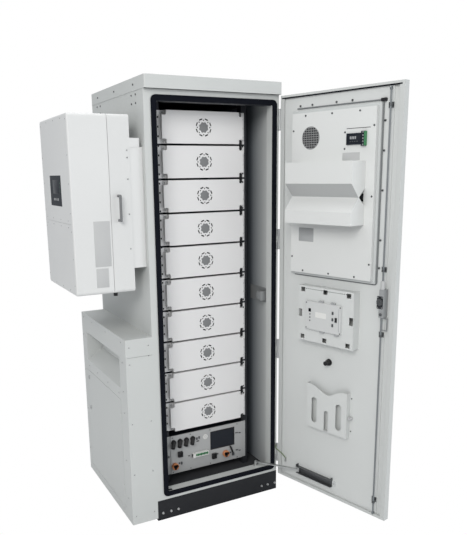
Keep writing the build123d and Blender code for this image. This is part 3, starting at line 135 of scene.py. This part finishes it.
# ---- finishes of the CAD pieces ----
def finish(name, colour, rough, metal=0.0, peel=0.02, grain=900.0, vary=0.03, dust=0.06, shine=0.5,
           second=None, where=()):
    """A coated or bare metal or plastic: base colour times (1 + vary x cloudy noise), darkened
    by dust where the surface faces up, with a fine surface texture as bump. The second colour
    comes in over each (axis, from, to) ramp in where, multiplied together, with the axis one
    of X, Y, Z, or NX, NY, NZ for the way the surface faces."""
    look = bpy.data.materials.new(name)
    look.use_nodes = True
    look.diffuse_color = (*colour, 1)
    tree = look.node_tree
    add, join = tree.nodes.new, tree.links.new
    shader = tree.nodes["Principled BSDF"]
    place = add("ShaderNodeTexCoord")
    cloud = add("ShaderNodeTexNoise")
    cloud.inputs["Scale"].default_value = 3.1
    cloud.inputs["Detail"].default_value = 5.0
    join(place.outputs["Object"], cloud.inputs["Vector"])
    speck = add("ShaderNodeTexNoise")
    speck.inputs["Scale"].default_value = grain
    speck.inputs["Detail"].default_value = 2.0
    join(place.outputs["Object"], speck.inputs["Vector"])
    tint = add("ShaderNodeMix")
    tint.data_type = "RGBA"
    tint.inputs["A"].default_value = (*[c * (1 - vary) for c in colour], 1)
    tint.inputs["B"].default_value = (*[min(1.0, c * (1 + vary)) for c in colour], 1)
    join(cloud.outputs["Fac"], tint.inputs["Factor"])
    facing = add("ShaderNodeNewGeometry")
    split = add("ShaderNodeSeparateXYZ")
    join(facing.outputs["Normal"], split.inputs[0])
    settle = add("ShaderNodeMath")
    settle.operation = "MULTIPLY"
    settle.use_clamp = True
    join(split.outputs["Z"], settle.inputs[0])
    join(cloud.outputs["Fac"], settle.inputs[1])
    amount = add("ShaderNodeMath")
    amount.operation = "MULTIPLY"
    join(settle.outputs[0], amount.inputs[0])
    amount.inputs[1].default_value = dust * 2
    dusty = add("ShaderNodeMix")
    dusty.data_type = "RGBA"
    dusty.inputs["B"].default_value = (0.42, 0.40, 0.36, 1)
    join(amount.outputs[0], dusty.inputs["Factor"])
    join(tint.outputs["Result"], dusty.inputs["A"])
    last = dusty.outputs["Result"]
    if second:
        spot = add("ShaderNodeSeparateXYZ")
        join(place.outputs["Object"], spot.inputs[0])
        way = add("ShaderNodeSeparateXYZ")
        join(place.outputs["Normal"], way.inputs[0])
        mask = None
        for axis, start, end in where:
            span = add("ShaderNodeMapRange")
            span.inputs["From Min"].default_value = start
            span.inputs["From Max"].default_value = end
            span.inputs["To Min"].default_value = 0.0
            span.inputs["To Max"].default_value = 1.0
            source = way if axis[0] == "N" else spot
            join(source.outputs[axis[-1]], span.inputs["Value"])
            if mask is None:
                mask = span.outputs["Result"]
            else:
                both = add("ShaderNodeMath")
                both.operation = "MULTIPLY"
                join(mask, both.inputs[0])
                join(span.outputs["Result"], both.inputs[1])
                mask = both.outputs[0]
        cover = add("ShaderNodeMix")
        cover.data_type = "RGBA"
        cover.inputs["B"].default_value = (*second, 1)
        join(mask, cover.inputs["Factor"])
        join(last, cover.inputs["A"])
        last = cover.outputs["Result"]
    join(last, shader.inputs["Base Color"])
    gloss = add("ShaderNodeMapRange")
    gloss.inputs["To Min"].default_value = max(0.02, rough - 0.06)
    gloss.inputs["To Max"].default_value = min(1.0, rough + 0.08)
    join(cloud.outputs["Fac"], gloss.inputs["Value"])
    join(gloss.outputs["Result"], shader.inputs["Roughness"])
    bump = add("ShaderNodeBump")
    bump.inputs["Strength"].default_value = peel * 5
    bump.inputs["Distance"].default_value = 0.0004
    join(speck.outputs["Fac"], bump.inputs["Height"])
    join(bump.outputs["Normal"], shader.inputs["Normal"])
    shader.inputs["Metallic"].default_value = metal
    shader.inputs["Specular IOR Level"].default_value = shine
    return look


body_grey = (0.535, 0.55, 0.54)
# Near black painted in as shade: inside the cabinet, in the frame's folds, in the grille's holes, and on the
# modules and control panel behind their covers' faces.
painted_shade_black = (0.009, 0.012, 0.018)
behind_covers = (("Y", -0.2315, -0.2312),)
looks = {
    "cabinet_paint": finish("cabinet_paint", body_grey, 0.48),
    "plinth_paint": finish("plinth_paint", (0.009, 0.010, 0.013), 0.42, dust=0.05, shine=0.35),
    "door_paint": finish("door_paint", (0.63, 0.645, 0.635), 0.50),
    "inner_paint": finish("inner_paint", (0.56, 0.58, 0.575), 0.5),
    "gasket_rubber": finish("gasket_rubber", (0.004, 0.005, 0.009), 0.85, peel=0.08, grain=1400, dust=0.01,
                            shine=0.12),
    "module_paint": finish("module_paint", (0.74, 0.735, 0.735), 0.42, vary=0.015,
                           second=painted_shade_black, where=behind_covers),
    "rack_steel": finish("rack_steel", (0.030, 0.032, 0.037), 0.5, metal=0.3, vary=0.10, shine=0.25),
    "panel_paint": finish("panel_paint", (0.40, 0.405, 0.405), 0.5,
                          second=painted_shade_black, where=behind_covers),
    "screen_plastic": finish("screen_plastic", (0.012, 0.015, 0.022), 0.30, peel=0.0, shine=0.22),
    "black_plastic": finish("black_plastic", (0.014, 0.014, 0.016), 0.45, peel=0.05, shine=0.3),
    "port_plastic": finish("port_plastic", (0.016, 0.016, 0.018), 0.42, peel=0.05, shine=0.3),
    "bright_steel": finish("bright_steel", (0.55, 0.56, 0.56), 0.34, metal=0.9, vary=0.08),
    "dark_steel": finish("dark_steel", (0.12, 0.125, 0.13), 0.40, metal=0.7, vary=0.12),
    "inverter_paint": finish("inverter_paint", (0.66, 0.665, 0.66), 0.45),
    "inverter_metal": finish("inverter_metal", (0.64, 0.645, 0.64), 0.5, peel=0.06, grain=500,
                             second=(0.16, 0.165, 0.17), where=(("Y", -0.3607, -0.3612),)),
    "cable_sheath": finish("cable_sheath", (0.17, 0.18, 0.185), 0.55, peel=0.04),
    "hub_plastic": finish("hub_plastic", (0.60, 0.61, 0.605), 0.42, peel=0.03),
}
for part in frame["record"]["subparts"]:
    mesh = nodes[part["node"]].data
    mesh.materials.clear()
    mesh.materials.append(looks[part["material_slot"]])


def repaint(look, *names):
    """These CAD nodes take this look in place of their slot's own."""
    for name in names:
        nodes[name].data.materials.clear()
        nodes[name].data.materials.append(look)


# The walls are painted outside; inside, painted shade turns them dark grey, which on the right wall
# begins a little behind the frame; painted shade makes the frame's folds near black above the sill.
repaint(finish("wall_paint_and_shade", body_grey, 0.48, second=(0.130, 0.147, 0.168), shine=0.3,
               where=(("X", 0.3579, 0.3575), ("X", -0.3579, -0.3575), ("Y", -0.338, -0.150))),
        "side_panels")
repaint(finish("frame_paint_and_fold_shade", body_grey, 0.48, second=painted_shade_black,
               where=(("X", -0.3000, -0.2995), ("X", 0.3150, 0.3145), ("Z", 0.300, 0.320),
                      ("Z", 2.0680, 2.0675))), "front_frame")
# The rear panel's inside and the cabinet's floor and top are near black, painted shade of the deep interior.
repaint(finish("rear_paint_and_shade", body_grey, 0.48, second=painted_shade_black, where=(("Y", 0.3615, 0.3610),)),
        "rear_panel")
repaint(finish("interior_shade_black", (0.017, 0.020, 0.027), 0.9, peel=0.10, grain=700, shine=0.15), "floor_and_top")
# The cooling unit's casing and hood turn a darker grey on faces that point downwards: painted shade under
# them.
repaint(finish("unit_paint_and_under_shade", (0.69, 0.70, 0.69), 0.48, vary=0.02, second=(0.42, 0.43, 0.43),
               where=(("NZ", -0.2, -0.7),)), "ac_casing", "ac_hood")
# The grille is grey on its face and near black on its other faces, the walls of its holes: painted shade.
repaint(finish("grille_paint_and_hole_shade", (0.25, 0.255, 0.255), 0.48, second=painted_shade_black,
               where=(("NX", -0.85, -0.70),)), "ac_grille")
repaint(looks["black_plastic"], "ac_fan", "ac_fan_motor")
repaint(finish("rod_zinc", (0.20, 0.215, 0.225), 0.42, metal=0.4, vary=0.08),
        "lock_rod_upper", "lock_rod_lower")
repaint(finish("case_zinc", (0.36, 0.37, 0.375), 0.42, metal=0.3, vary=0.06), "lock_case")
repaint(finish("pan_paint", (0.555, 0.57, 0.56), 0.50), "door_pan")
repaint(finish("bracket_zinc", (0.30, 0.31, 0.315), 0.42, metal=0.3, vary=0.06), "wall_bracket")
repaint(finish("pane_plastic", (0.015, 0.019, 0.026), 0.42, peel=0.0, shine=0.12), "inverter_display")
repaint(finish("button_plastic", (0.62, 0.62, 0.61), 0.35, peel=0.0), "start_button")
looks["terminal_green"] = finish("terminal_green", (0.035, 0.20, 0.075), 0.45, peel=0.03)
looks["socket_orange"] = finish("socket_orange", (0.56, 0.20, 0.07), 0.42, peel=0.03)
looks["label_white"] = finish("label_white", (0.74, 0.74, 0.72), 0.55, peel=0.01, vary=0.01)
looks["label_grey"] = finish("label_grey", (0.38, 0.39, 0.395), 0.55, peel=0.01, vary=0.02)
looks["label_silver"] = finish("label_silver", (0.47, 0.475, 0.475), 0.5, peel=0.01, vary=0.02)
looks["gauze_grey"] = finish("gauze_grey", (0.21, 0.215, 0.22), 0.6, peel=0.6, grain=420, shine=0.3)
# pit_black: near black for the insides of holes, slots and openings, where it is painted shade, and for one
# dark joint.
looks["pit_black"] = finish("pit_black", (0.006, 0.006, 0.008), 0.9, peel=0.02, shine=0.08)
looks["earth_green"] = finish("earth_green", (0.10, 0.16, 0.045), 0.5, peel=0.03)


# ---- module vents ----
# Every module breathes through a round vent in its cover: behind its eight slots and eight
# ports a near-black disc is painted shade of the inside, and a disc of grey wire gauze fills
# the shallow dish in the middle.
front = ((0, 0, 0), (1, 0, 0), (0, 0, 1), (0, -1, 0))


def pad(base, u, v, wide, tall, corner, layers, turn=0.0):
    """A rounded plate round the point (u, v) of a face. At each (inset, height) of layers its
    outline is the rounded rectangle stepped in by inset. The face's base is its origin and the
    directions along, up and out of it, in millimetres from the body's front face."""
    per_corner = 6
    ring = 4 * per_corner
    rings = []
    for inset, height in layers:
        a, b = max(wide / 2 - inset, 0.05), max(tall / 2 - inset, 0.05)
        r = max(min(corner - inset, a, b), 0.04)
        for quarter, (p, q) in enumerate(((1, 1), (-1, 1), (-1, -1), (1, -1))):
            angle = np.linspace(quarter * pi / 2, (quarter + 1) * pi / 2, per_corner)
            x, y = p * (a - r) + r * np.cos(angle), q * (b - r) + r * np.sin(angle)
            rings.append(np.stack([u + cos(turn) * x - sin(turn) * y, v + sin(turn) * x + cos(turn) * y,
                                   np.full(per_corner, height)], 1))
    points = np.concatenate(rings) @ np.array(base[1:], float) + np.array(base[0], float)
    faces = [list(range(ring))[::-1], [ring * len(layers) - ring + i for i in range(ring)]]
    for layer in range(len(layers) - 1):
        low_ring, high_ring = ring * layer, ring * layer + ring
        faces += [[low_ring + i, low_ring + (i + 1) % ring, high_ring + (i + 1) % ring, high_ring + i]
                  for i in range(ring)]
    return (points - (0, 385.5, 0)) / 1000, faces


def piece(name, body, slot_name, *groups):
    """One mesh from groups of (look, shapes), each shape its points and faces; edges sharper
    than 35 degrees stay crisp. It rides on body, if any; slot_name is not used."""
    points, faces, index, count = [], [], [], 0
    mesh = bpy.data.meshes.new(name)
    for number, (look, shapes) in enumerate(groups):
        mesh.materials.append(looks[look])
        for verts, polys in shapes:
            points.append(verts)
            faces += [[count + i for i in poly] for poly in polys]
            index += [number] * len(polys)
            count += len(verts)
    mesh.from_pydata(np.concatenate(points).tolist(), [], faces)
    mesh.polygons.foreach_set("material_index", index)
    mesh.polygons.foreach_set("use_smooth", [True] * len(faces))
    mesh.set_sharp_from_angle(angle=radians(35))
    obj = bpy.data.objects.new(name, mesh)
    bpy.context.scene.collection.objects.link(obj)
    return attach(obj, body) if body else obj


module_pitch = 164
module_mids = [1963 - module_pitch * i for i in range(10)]
vent_x, shade_disc, dish = 4, 90, 52
piece("module_vents", "cabinet", "module_paint",
      ("pit_black", [pad(front, vent_x, z, shade_disc, shade_disc, shade_disc / 2, [(0, -133), (0, -131)])
                     for z in module_mids]),
      ("gauze_grey", [pad(front, vent_x, z, dish, dish, dish / 2, [(0, -131), (0, -129.3), (1.2, -128.9)])
                      for z in module_mids]))


# ---- module fixings ----
# A screw in each notch holds the module's ears to the rack, over a bare grey tab at the left
# and a small dark clamp at the right, and a dark block bridges each joint between modules.
def screws(base, places, w, r=4.5):
    """Pan heads at places on a face w above its base, and thin near-black crosses on them, painted shade of
    their cross recesses.
    """
    heads = [pad(base, u, v, 2 * r, 2 * r, r, [(0, w - 0.5), (0, w + 0.30 * r), (0.18 * r, w + 0.5 * r),
                                               (0.5 * r, w + 0.6 * r)]) for u, v in places]
    cross_shades = [pad(base, u, v, 1.3 * r, 0.34 * r, 0.1, [(0, w + 0.5 * r), (0, w + 0.62 * r)],
                turn=0.5 + 1.571 * k) for u, v in places for k in (0, 1)]
    return heads, cross_shades


ear = -152
notches = [z + half_way * 66 for z in module_mids for half_way in (1, -1)]
tab = [(0, ear), (0, ear + 3), (0.6, ear + 3.5)]
heads, cross_shades = screws(front, [(x, z) for z in notches for x in (-208, 215)], ear + 3.5, 5.0)
piece("module_fixings", "cabinet", "bright_steel",
      ("label_silver", [pad(front, -208, z, 17, 17, 2, tab) for z in notches]),
      ("black_plastic", [pad(front, 217, z, 18, 19, 2, tab) for z in notches] +
       [pad(front, 222, z - module_pitch / 2, 11, 44, 2, [(0, ear), (0, ear + 9), (0.6, ear + 9.5)])
        for z in module_mids]),
      ("bright_steel", heads), ("pit_black", cross_shades))

# ---- rack ear slots ----
# The posts show outside the modules: a row of cage-nut slots runs down each ear, one to a
# rack unit, each slot a near-black pad, painted shade of its hole.
rack_unit = 44.45
ear_slots = [pad(front, x, 400 + rack_unit * k + 8, 6.5, 9.5, 1, [(0, ear - 0.2), (0, ear + 0.3)])
             for x in (-229, 237) for k in range(37)]
piece("rack_slots", "cabinet", "rack_steel", ("pit_black", ear_slots))

# ---- control panel fittings ----
# Small screws along the panel's edges, the terminal strip's green blocks with white markers,
# two orange power sockets, the start button's collar among small connectors, and the bezel
# round the screen.
panel = -148
heads, cross_shades = screws(front, [(x, z) for z in (367, 169) for x in (-205, -100, 20, 190)], panel, 3.2)
piece("panel_screws", "cabinet", "bright_steel", ("dark_steel", heads), ("pit_black", cross_shades))
ways = [(k, -70 + 9.4 * k) for k in range(8)]
studs = [pad(front, x, 245, 7.2, 11 + 3 * (k % 2), 1.5, [(0, -134.5), (0, -130), (1, -129)])
         for k, x in ways]
caps = [pad(front, x, 254, 6.6, 6, 1, [(0, -146), (0, -132), (0.6, -131.4)]) for _, x in ways]
pins = [pad(front, x, 244, 3, 3, 1.5, [(0, -130), (0, -128.7)]) for _, x in ways]
piece("terminal_strip", "cabinet", "port_plastic",
      ("terminal_green", studs), ("label_white", caps + [
          pad(front, -43, 242, 97, 22, 1.5, [(0, panel), (0, -133.8), (0.4, -133.4)]),
          pad(front, -85, 242, 13, 24, 1.5, [(0, panel), (0, -130), (1, -129)])]), ("pit_black", pins))
rings, cores = [], []
for x, z in ((115, 208), (-195, 204)):
    rings.append(pad(front, x, z, 37, 37, 18.5, [(0, panel), (0, -132.5), (1, -131.5), (6, -131.5),
                                                 (7, -133), (7, -140)]))
    cores.append(pad(front, x, z, 22, 22, 11, [(0, -141), (0, -139.5)]))
    cores += [pad(front, x + 12 * cos(a), z + 12 * sin(a), 6, 12, 2, [(0, -132), (0, -130.5)], turn=a)
              for a in (0.4, 2.5, 4.6)]
piece("power_sockets", "cabinet", "port_plastic", ("socket_orange", rings), ("pit_black", cores))
piece("start_collar", "cabinet", "port_plastic",
      ("label_white", [pad(front, -9, 333, 28, 28, 14, [(0, panel), (0, panel + 1.6), (0.8, panel + 2.2),
                                                        (4.6, panel + 2.2), (4.7, panel + 1)])]),
      ("dark_steel", [pad(front, x, z, wide, tall, 1.5, [(0, panel), (0, panel + 4), (0.6, panel + 4.6)])
                      for x, z, wide, tall in (
                          (-61, 333, 9, 13), (-47, 337, 8, 14), (-56, 318, 16, 5), (-155, 212, 9, 15),
                          (-168, 214, 6, 8), (64, 216, 10, 7), (146, 206, 10, 7), (163, 192, 15, 15),
                          (-228, 262, 7, 10), (-110, 244, 10, 4), (186, 316, 16, 5), (206, 312, 12, 5),
                          (188, 212, 14, 5), (206, 206, 12, 4))]),
      ("black_plastic", [pad(front, 152, 224, 7, 46, 3, [(0, panel), (0, -136), (1.5, -134)], turn=0.35)]))
bezel = [(0, panel - 1), (0, panel + 1.5), (0.8, panel + 2)]
piece("control_bezel", "cabinet", "screen_plastic",
      ("black_plastic", [pad(front, 97 + p * 73.5, 301, 4, 106, 1, bezel) for p in (1, -1)] +
       [pad(front, 97, 301 + p * 51.5, 150, 4, 1, bezel) for p in (1, -1)]))

# ---- screws, clips and labels on the door ----
# Screws fasten the cooling unit's casing at its corners and edges, small dark clips hold the
# harness to the liner round it, two bare plates lie where the labels go, and a dark joint
# runs over the controller. The faces' heights count from the door's hinge plane.
swing = radians(104.6 - 180)
inward = (sin(swing), -cos(swing), 0)
door = ((360, -6, 0), (cos(swing), sin(swing), 0), (0, 0, 1), inward)
liner, casing = -8, 21
heads, cross_shades = screws(door, [(s, 2002) for s in (184, 339, 491)] +
                     [(s, z) for z in (1936, 1633, 1330) for s in (110, 567)] +
                     [(s, 1265) for s in (180, 339, 488)] +
                     [(414, 1914), (414, 1842), (160, 1770), (517, 1770)], casing)
piece("casing_screws", "door", "bright_steel", ("dark_steel", heads), ("pit_black", cross_shades))
clip_places = [(s, 2052) for s in (128, 201, 341, 429)] + [(s, 1244) for s in (156, 277, 391, 472)] + \
              [(603, z) for z in (1954, 1829, 1659, 1440, 1315)]
piece("harness_clips", "door", "black_plastic",
      ("dark_steel", [pad(door, s, z, 8, 9, 2.5, [(0, liner), (0, liner + 4), (1.5, liner + 5.5)])
                      for s, z in clip_places]),
      ("black_plastic", [pad(door, s, z, 4, 5, 1, [(0, -3), (0, -1.2)]) for s, z in clip_places] +
       [pad(door, 596, 2040, 26, 13, 2, [(0, liner), (0, 4), (2, 6)])]))
plate = [(0, casing - 0.2), (0, casing + 0.3), (0.3, casing + 0.5)]
piece("door_plates", "door", "hub_plastic",
      ("label_silver", [pad(door, 450, 1808, 94, 34, 1.5, plate)]),
      ("label_grey", [pad(door, 198, 1443, 92, 66, 2, plate)]),
      ("pit_black", [pad(door, 485, 1929, 126, 2.4, 0.5, [(0, casing - 0.4), (0, casing + 0.3)])]))

# ---- casing flange and painted shade under the door's lip ----
# The cooling unit's casing stands on a narrow flange screwed to the liner, and a thin
# near-black strip under the door's top lip is painted shade.
flange = [(0, liner - 0.3), (0, 4), (1, 5)]
piece("casing_flange", "door", "door_paint",
      ("inner_paint", [pad(door, s, 1634.5, 13, 787, 2, flange) for s in (94.3, 583.7)] +
       [pad(door, 339, z, 476, 13, 2, flange) for z in (1247.3, 2021.7)]))
piece("door_lip_shade", "door", "gasket_rubber",
      ("gasket_rubber", [pad(door, 348, 2096.5, 668, 5.5, 1, [(0, liner), (0, 0.6), (0.4, 0.9)])]))

# ---- controller ----
# A glazed display with a lit strip over four small keys, and the terminal block beside it
# with its green edge and clamping screws.
heads, cross_shades = screws(door, [(519, 1883 + 13 * k) for k in (-2, -1, 0, 1, 2)], 34, 3.0)
piece("controller_face", "door", "screen_plastic",
      ("screen_plastic", [pad(door, 467, 1883, 64, 32, 2, [(0, 25), (0, 26.6), (0.6, 27)])]),
      ("label_grey", [pad(door, 448 + 9 * k, 1888, 5.5, 12, 1, [(0, 26.9), (0, 27.3)]) for k in range(4)]),
      ("dark_steel", [pad(door, 448 + 12 * k, 1872, 7, 4, 1.5, [(0, 26.9), (0, 27.8)]) for k in range(4)]),
      ("terminal_green", [pad(door, 528.5, 1883, 6, 62, 1, [(0, 21), (0, 35), (1, 36)])]),
      ("bright_steel", heads), ("pit_black", cross_shades))

# ---- painted shade behind the grille and in the duct ----
# A near-black disc close behind the grille's holes, and near-black plates at both ends of the
# hood's waist where it opens on the duct, are painted shade of the unit's inside.
edge = ((360, -6, 0), (-inward[0], -inward[1], 0), (0, 0, 1), door[1])
piece("grille_shade_disc", "door", "black_plastic",
      ("pit_black", [pad(door, 216, 1899, 104, 104, 52, [(0, 17.4), (0, 18.7)])]))
piece("duct_shade", "door", "black_plastic",
      ("pit_black", [pad(edge, -36, 1628, 38, 34, 3, [(0, start), (0, start + 54)])
                     for start in (470, 153)]))

# ---- hub fittings ----
# Vent slits along the hub box's top, drawn as near-black pads of painted shade, the hub's
# corner screws, lamps and keys down its left, a blank name plate, a column of switches at the
# right and connectors above and below.
hub_box, hub = 39, 55
heads, cross_shades = screws(door, [(s, z) for s in (237, 441) for z in (1116, 990)], hub, 3.2)
piece("hub_screws", "door", "bright_steel", ("dark_steel", heads), ("pit_black", cross_shades))
piece("hub_fittings", "door", "hub_plastic",
      ("pit_black", [pad(door, 210 + 12 * k, 1181, 7, 3, 1, [(0, hub_box - 0.4), (0, hub_box + 0.2)])
                     for k in range(22)] +
       [pad(door, 258, 1080, 15, 17, 2, [(0, hub - 0.4), (0, hub + 1), (0.6, hub + 1.4)])]),
      ("dark_steel", [pad(door, 260, z, 7, 6, 2, [(0, hub - 0.4), (0, hub + 1.6), (1, hub + 2)])
                      for z in (1060, 1044, 1028)] +
       [pad(door, 398, z, 10, 15, 2, [(0, hub - 0.4), (0, hub + 2), (1, hub + 3)])
        for z in (1084, 1053, 1024)]),
      ("label_white", [pad(door, 326, 1062, 66, 27, 1, [(0, hub - 0.2), (0, hub + 0.3)])]),
      ("label_grey", [pad(door, s, z, wide, 9, 2, [(0, hub_box), (0, hub_box + 12), (1, hub_box + 13)])
                      for s, z, wide in ((321, 1128, 26), (393, 1128, 24), (329, 978, 26), (416, 978, 22))] +
       [pad(door, 434, 1053, 3, 112, 1, [(0, hub - 0.2), (0, hub + 0.6)])]))

# ---- lock gearbox ----
# The gearbox is open to view: a dark cover plate with a toothed wheel on the shaft, and a
# guide collar for the upper rod. It stays clear of the frame when the door shuts.
upright = ((360, -6, 0), door[1], (-inward[0], -inward[1], 0), (0, 0, 1))
tooth_count, tooth_ring = 14, 13
teeth = [pad(door, 636 + tooth_ring * cos(a), 1168 + tooth_ring * sin(a), 6, 4, 0.8,
             [(0, 27.5), (0, 33), (0.5, 33.4)], turn=a)
         for a in np.arange(tooth_count) * pi / 7]
piece("lock_plate", "door", "dark_steel",
      ("rack_steel", [pad(door, 636, 1166, 32, 58, 4, [(0, 23.6), (0, 27), (1.2, 28)])]),
      ("dark_steel", teeth + [pad(door, 636, 1168, 24, 24, 12, [(0, 28), (0, 32.6), (1.2, 33.6), (6, 33.6),
                                                               (6.3, 31), (8, 31), (8.3, 35), (9.5, 35.6)])] +
       [pad(door, 642, 1112, 14, 14, 7, [(0, 28), (0, 31), (1, 32)])]),
      ("label_silver", [pad(upright, 642, -19, 19, 19, 9.5, [(0, 1226), (0, 1262), (1.5, 1264)])]))
heads, cross_shades = screws(door, [(625, 1189), (647, 1189), (625, 1143), (647, 1143)], 28, 2.6)
piece("lock_screws", "door", "bright_steel", ("bright_steel", heads), ("pit_black", cross_shades))

# ---- pocket screws and catch ----
# The document pocket is held by three screws at its left and two at its right, and has a
# small catch at its right.
heads, cross_shades = screws(door, [(213, 560), (213, 660), (213, 490), (479, 490), (479, 660)], liner, 3.6)
piece("pocket_fixings", "door", "bright_steel", ("dark_steel", heads), ("pit_black", cross_shades),
      ("label_silver", [pad(door, 480, 560, 18, 15, 3, [(0, liner), (0, 10), (2, 12)])]))

# ---- stay channel lugs ----
# Light lugs close both ends of the stay's channel on the door, each held by a screw.
heads, cross_shades = screws(door, [(136, 173), (389, 173)], liner + 3, 3.6)
piece("channel_lugs", "door", "bright_steel",
      ("inner_paint", [pad(door, s, 173, 22, 30, 4, [(0, liner - 0.5), (0, liner + 2.4), (0.6, liner + 3)])
                       for s in (137, 388)]),
      ("bright_steel", heads), ("pit_black", cross_shades))

# ---- earth wire ----
# A thin earth wire leaves a stud on the frame's right strip, sags and lands on a stud low on
# the door's liner beside the hinge.
def tube(path, radius, steps=48):
    """A round wire through path, in metres. Along it the points follow the Catmull-Rom curve,
    and each ring of ten points is turned square to the way the wire runs there."""
    around = 10
    path = np.array([path[0]] + list(path) + [path[-1]], float)
    spans = len(path) - 3
    line = []
    for t in np.linspace(0, spans - 1e-6, steps):
        k, f = int(t), t - int(t)
        a, b, c, d = path[k:k + 4]
        line.append(0.5 * (2 * b + (c - a) * f + (2 * a - 5 * b + 4 * c - d) * f * f +
                           (3 * b - a - 3 * c + d) * f * f * f))
    line = np.array(line)
    ahead_of = np.gradient(line, axis=0)
    ahead_of /= np.linalg.norm(ahead_of, axis=1)[:, None]
    right = np.cross(ahead_of, (0.13, 0.21, 0.97))
    right /= np.linalg.norm(right, axis=1)[:, None]
    lift = np.cross(right, ahead_of)
    angle = np.linspace(0, 2 * pi, around, endpoint=False)
    points = (line[:, None, :] + radius * (np.cos(angle)[None, :, None] * right[:, None, :] +
                                           np.sin(angle)[None, :, None] * lift[:, None, :])).reshape(-1, 3)
    faces = []
    for start in range(0, around * (steps - 1), around):
        faces += [[start + j, start + around + j, start + around + (j + 1) % around, start + (j + 1) % around]
                  for j in range(around)]
    faces += [list(range(around)), [around * (steps - 1) + j for j in range(around)][::-1]]
    return points, faces


def on_door(s, out_of, z):
    """A point of the room, in metres, from millimetres along the door, off its inside and up."""
    spot = np.array(door[0]) + s * np.array(door[1]) + out_of * np.array(inward)
    return (spot[0] / 1000, (spot[1] - 385.5) / 1000, z / 1000)


wire_radius = 0.0024
wire = piece("earth_wire", None, "cable_sheath",
             ("earth_green", [tube([(0.351, -0.3885, 0.262), (0.343, -0.404, 0.272), (0.331, -0.424, 0.264),
                                    on_door(38, 16, 240), on_door(56, 8, 222), on_door(60, -3, 205)],
                                   wire_radius)]))
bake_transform(wire)
piece("earth_stud_frame", "cabinet", "bright_steel",
      ("bright_steel", [pad(front, 351, 262, 11, 11, 5.5, [(0, -0.5), (0, 2.2), (0.8, 3), (2.2, 3),
                                                           (2.4, 4.2), (3, 4.5)])]))
piece("earth_stud_door", "door", "bright_steel",
      ("bright_steel", [pad(door, 60, 190, 13, 13, 6.5, [(0, liner - 0.5), (0, -4), (1, -3), (3, -3),
                                                         (3.2, 2), (4, 2.6)]),
                        pad(door, 60, 198, 9, 20, 4, [(0, -4), (0, -2.4), (0.4, -2)])]))

# ---- inverter fittings ----
# Screws hold the inverter's covers and its lug, two bare plates sit on its narrow side, and
# the pane has a darker screen, four keys and three lamps.
left = ((0, 0, 0), (0, -1, 0), (0, 0, 1), (-1, 0, 0))
pane = 700
edge_rows = (1979, 1828, 1705, 1576, 1495, 1372, 1251)
heads, cross_shades = screws(left, [(-48, z) for z in edge_rows] +
                     [(-y, z) for y in (131, 263, 397) for z in (1988, 1221)] +
                     [(-y, z) for y in (96, 229, 374, 502) for z in (1541, 1512)] +
                     [(-525, z) for z in edge_rows], pane - 0.6, 3.6)
piece("inverter_screws", "cabinet", "bright_steel", ("bright_steel", heads), ("pit_black", cross_shades))
narrow_side = -25
heads, cross_shades = screws(front, [(-436, z) for z in (1848, 1817, 1722, 1565, 1406)], narrow_side, 4.2)
piece("inverter_side_screws", "cabinet", "bright_steel", ("bright_steel", heads), ("pit_black", cross_shades))
plate = [(0, narrow_side - 0.3), (0, narrow_side + 0.6), (0.3, narrow_side + 0.8)]
piece("inverter_plates", "cabinet", "hub_plastic",
      ("label_silver", [pad(front, -569, 1435, 76, 206, 2, plate), pad(front, -576, 1280, 58, 88, 2, plate)]))
piece("inverter_pane", "cabinet", "screen_plastic",
      ("screen_plastic", [pad(left, -294, 1690, 108, 64, 3, [(0, pane), (0, pane + 0.8), (0.4, pane + 1)])]),
      ("label_grey", [pad(left, -294 + 26 * k, 1632, 13, 13, 6.5, [(0, pane), (0, pane + 0.8), (1, pane + 1)])
                      for k in (-1.5, -0.5, 0.5, 1.5)]),
      ("terminal_green", [pad(left, -214, z, 5, 5, 2.5, [(0, pane), (0, pane + 0.8), (0.5, pane + 1)])
                          for z in (1708, 1690, 1672)]))

# ---- cable box screws and latch slots ----
# Screws along the box's borders hold its sheet-metal skins, and in each of the side cover's
# latches the key slot is a near-black pad, painted shade of the slot.
heads, cross_shades = screws(left, [(-y, 684) for y in (120, 300, 480, 640)] +
                     [(-y, 955) for y in (60, 300, 540, 700)] +
                     [(-52, z) for z in (856, 709, 598, 348, 140)] +
                     [(-722, z) for z in (850, 640, 400, 150)], 494, 3.8)
piece("cable_box_screws", "cabinet", "bright_steel", ("bright_steel", heads), ("pit_black", cross_shades))
heads, cross_shades = screws(front, [(-476, z) for z in (940, 856, 553, 286, 60)] +
                     [(-378, z) for z in (940, 888, 553, 286, 60)], 0, 3.8)
piece("cable_box_front", "cabinet", "bright_steel", ("bright_steel", heads), ("pit_black", cross_shades))
for name, z in (("low", 428), ("high", 610)):
    piece("latch_slot_" + name, "latch_" + name, "black_plastic",
          ("pit_black", [pad(left, -657, z, 3.0, 17, 0.6, [(0, 495.6), (0, 497.3)])]))

# ---- plinth, roof and wall bolts ----
# Three bolts at each end of the plinth's front, three screws along each of the roof's side
# skirts and two groups of four bolts high on each side wall.
bolts = [pad(front, x, 38, 12, 12, 6, [(0, -0.5), (0, 1.5), (1.5, 2.2), (1.6, 7), (3, 8)])
         for x in (-331, -286, -245, 262, 301, 347)]
piece("plinth_bolts", "cabinet", "bright_steel", ("bright_steel", bolts))
skirt, wall_face = 360, 358
for name, way in (("left", -1), ("right", 1)):
    wall = ((0, 0, 0), (0, way, 0), (0, 0, 1), (way, 0, 0))
    heads, cross_shades = screws(wall, [(way * y, 2143) for y in (115, 385, 655)], skirt, 4.6)
    more, more_cross_shades = screws(wall, [(way * y, z) for y in (92, 147, 624, 679) for z in (2098, 2061)], wall_face,
                          4.6)
    piece("roof_screws_" + name, "cabinet", "bright_steel",
          ("dark_steel", heads + more), ("pit_black", cross_shades + more_cross_shades))
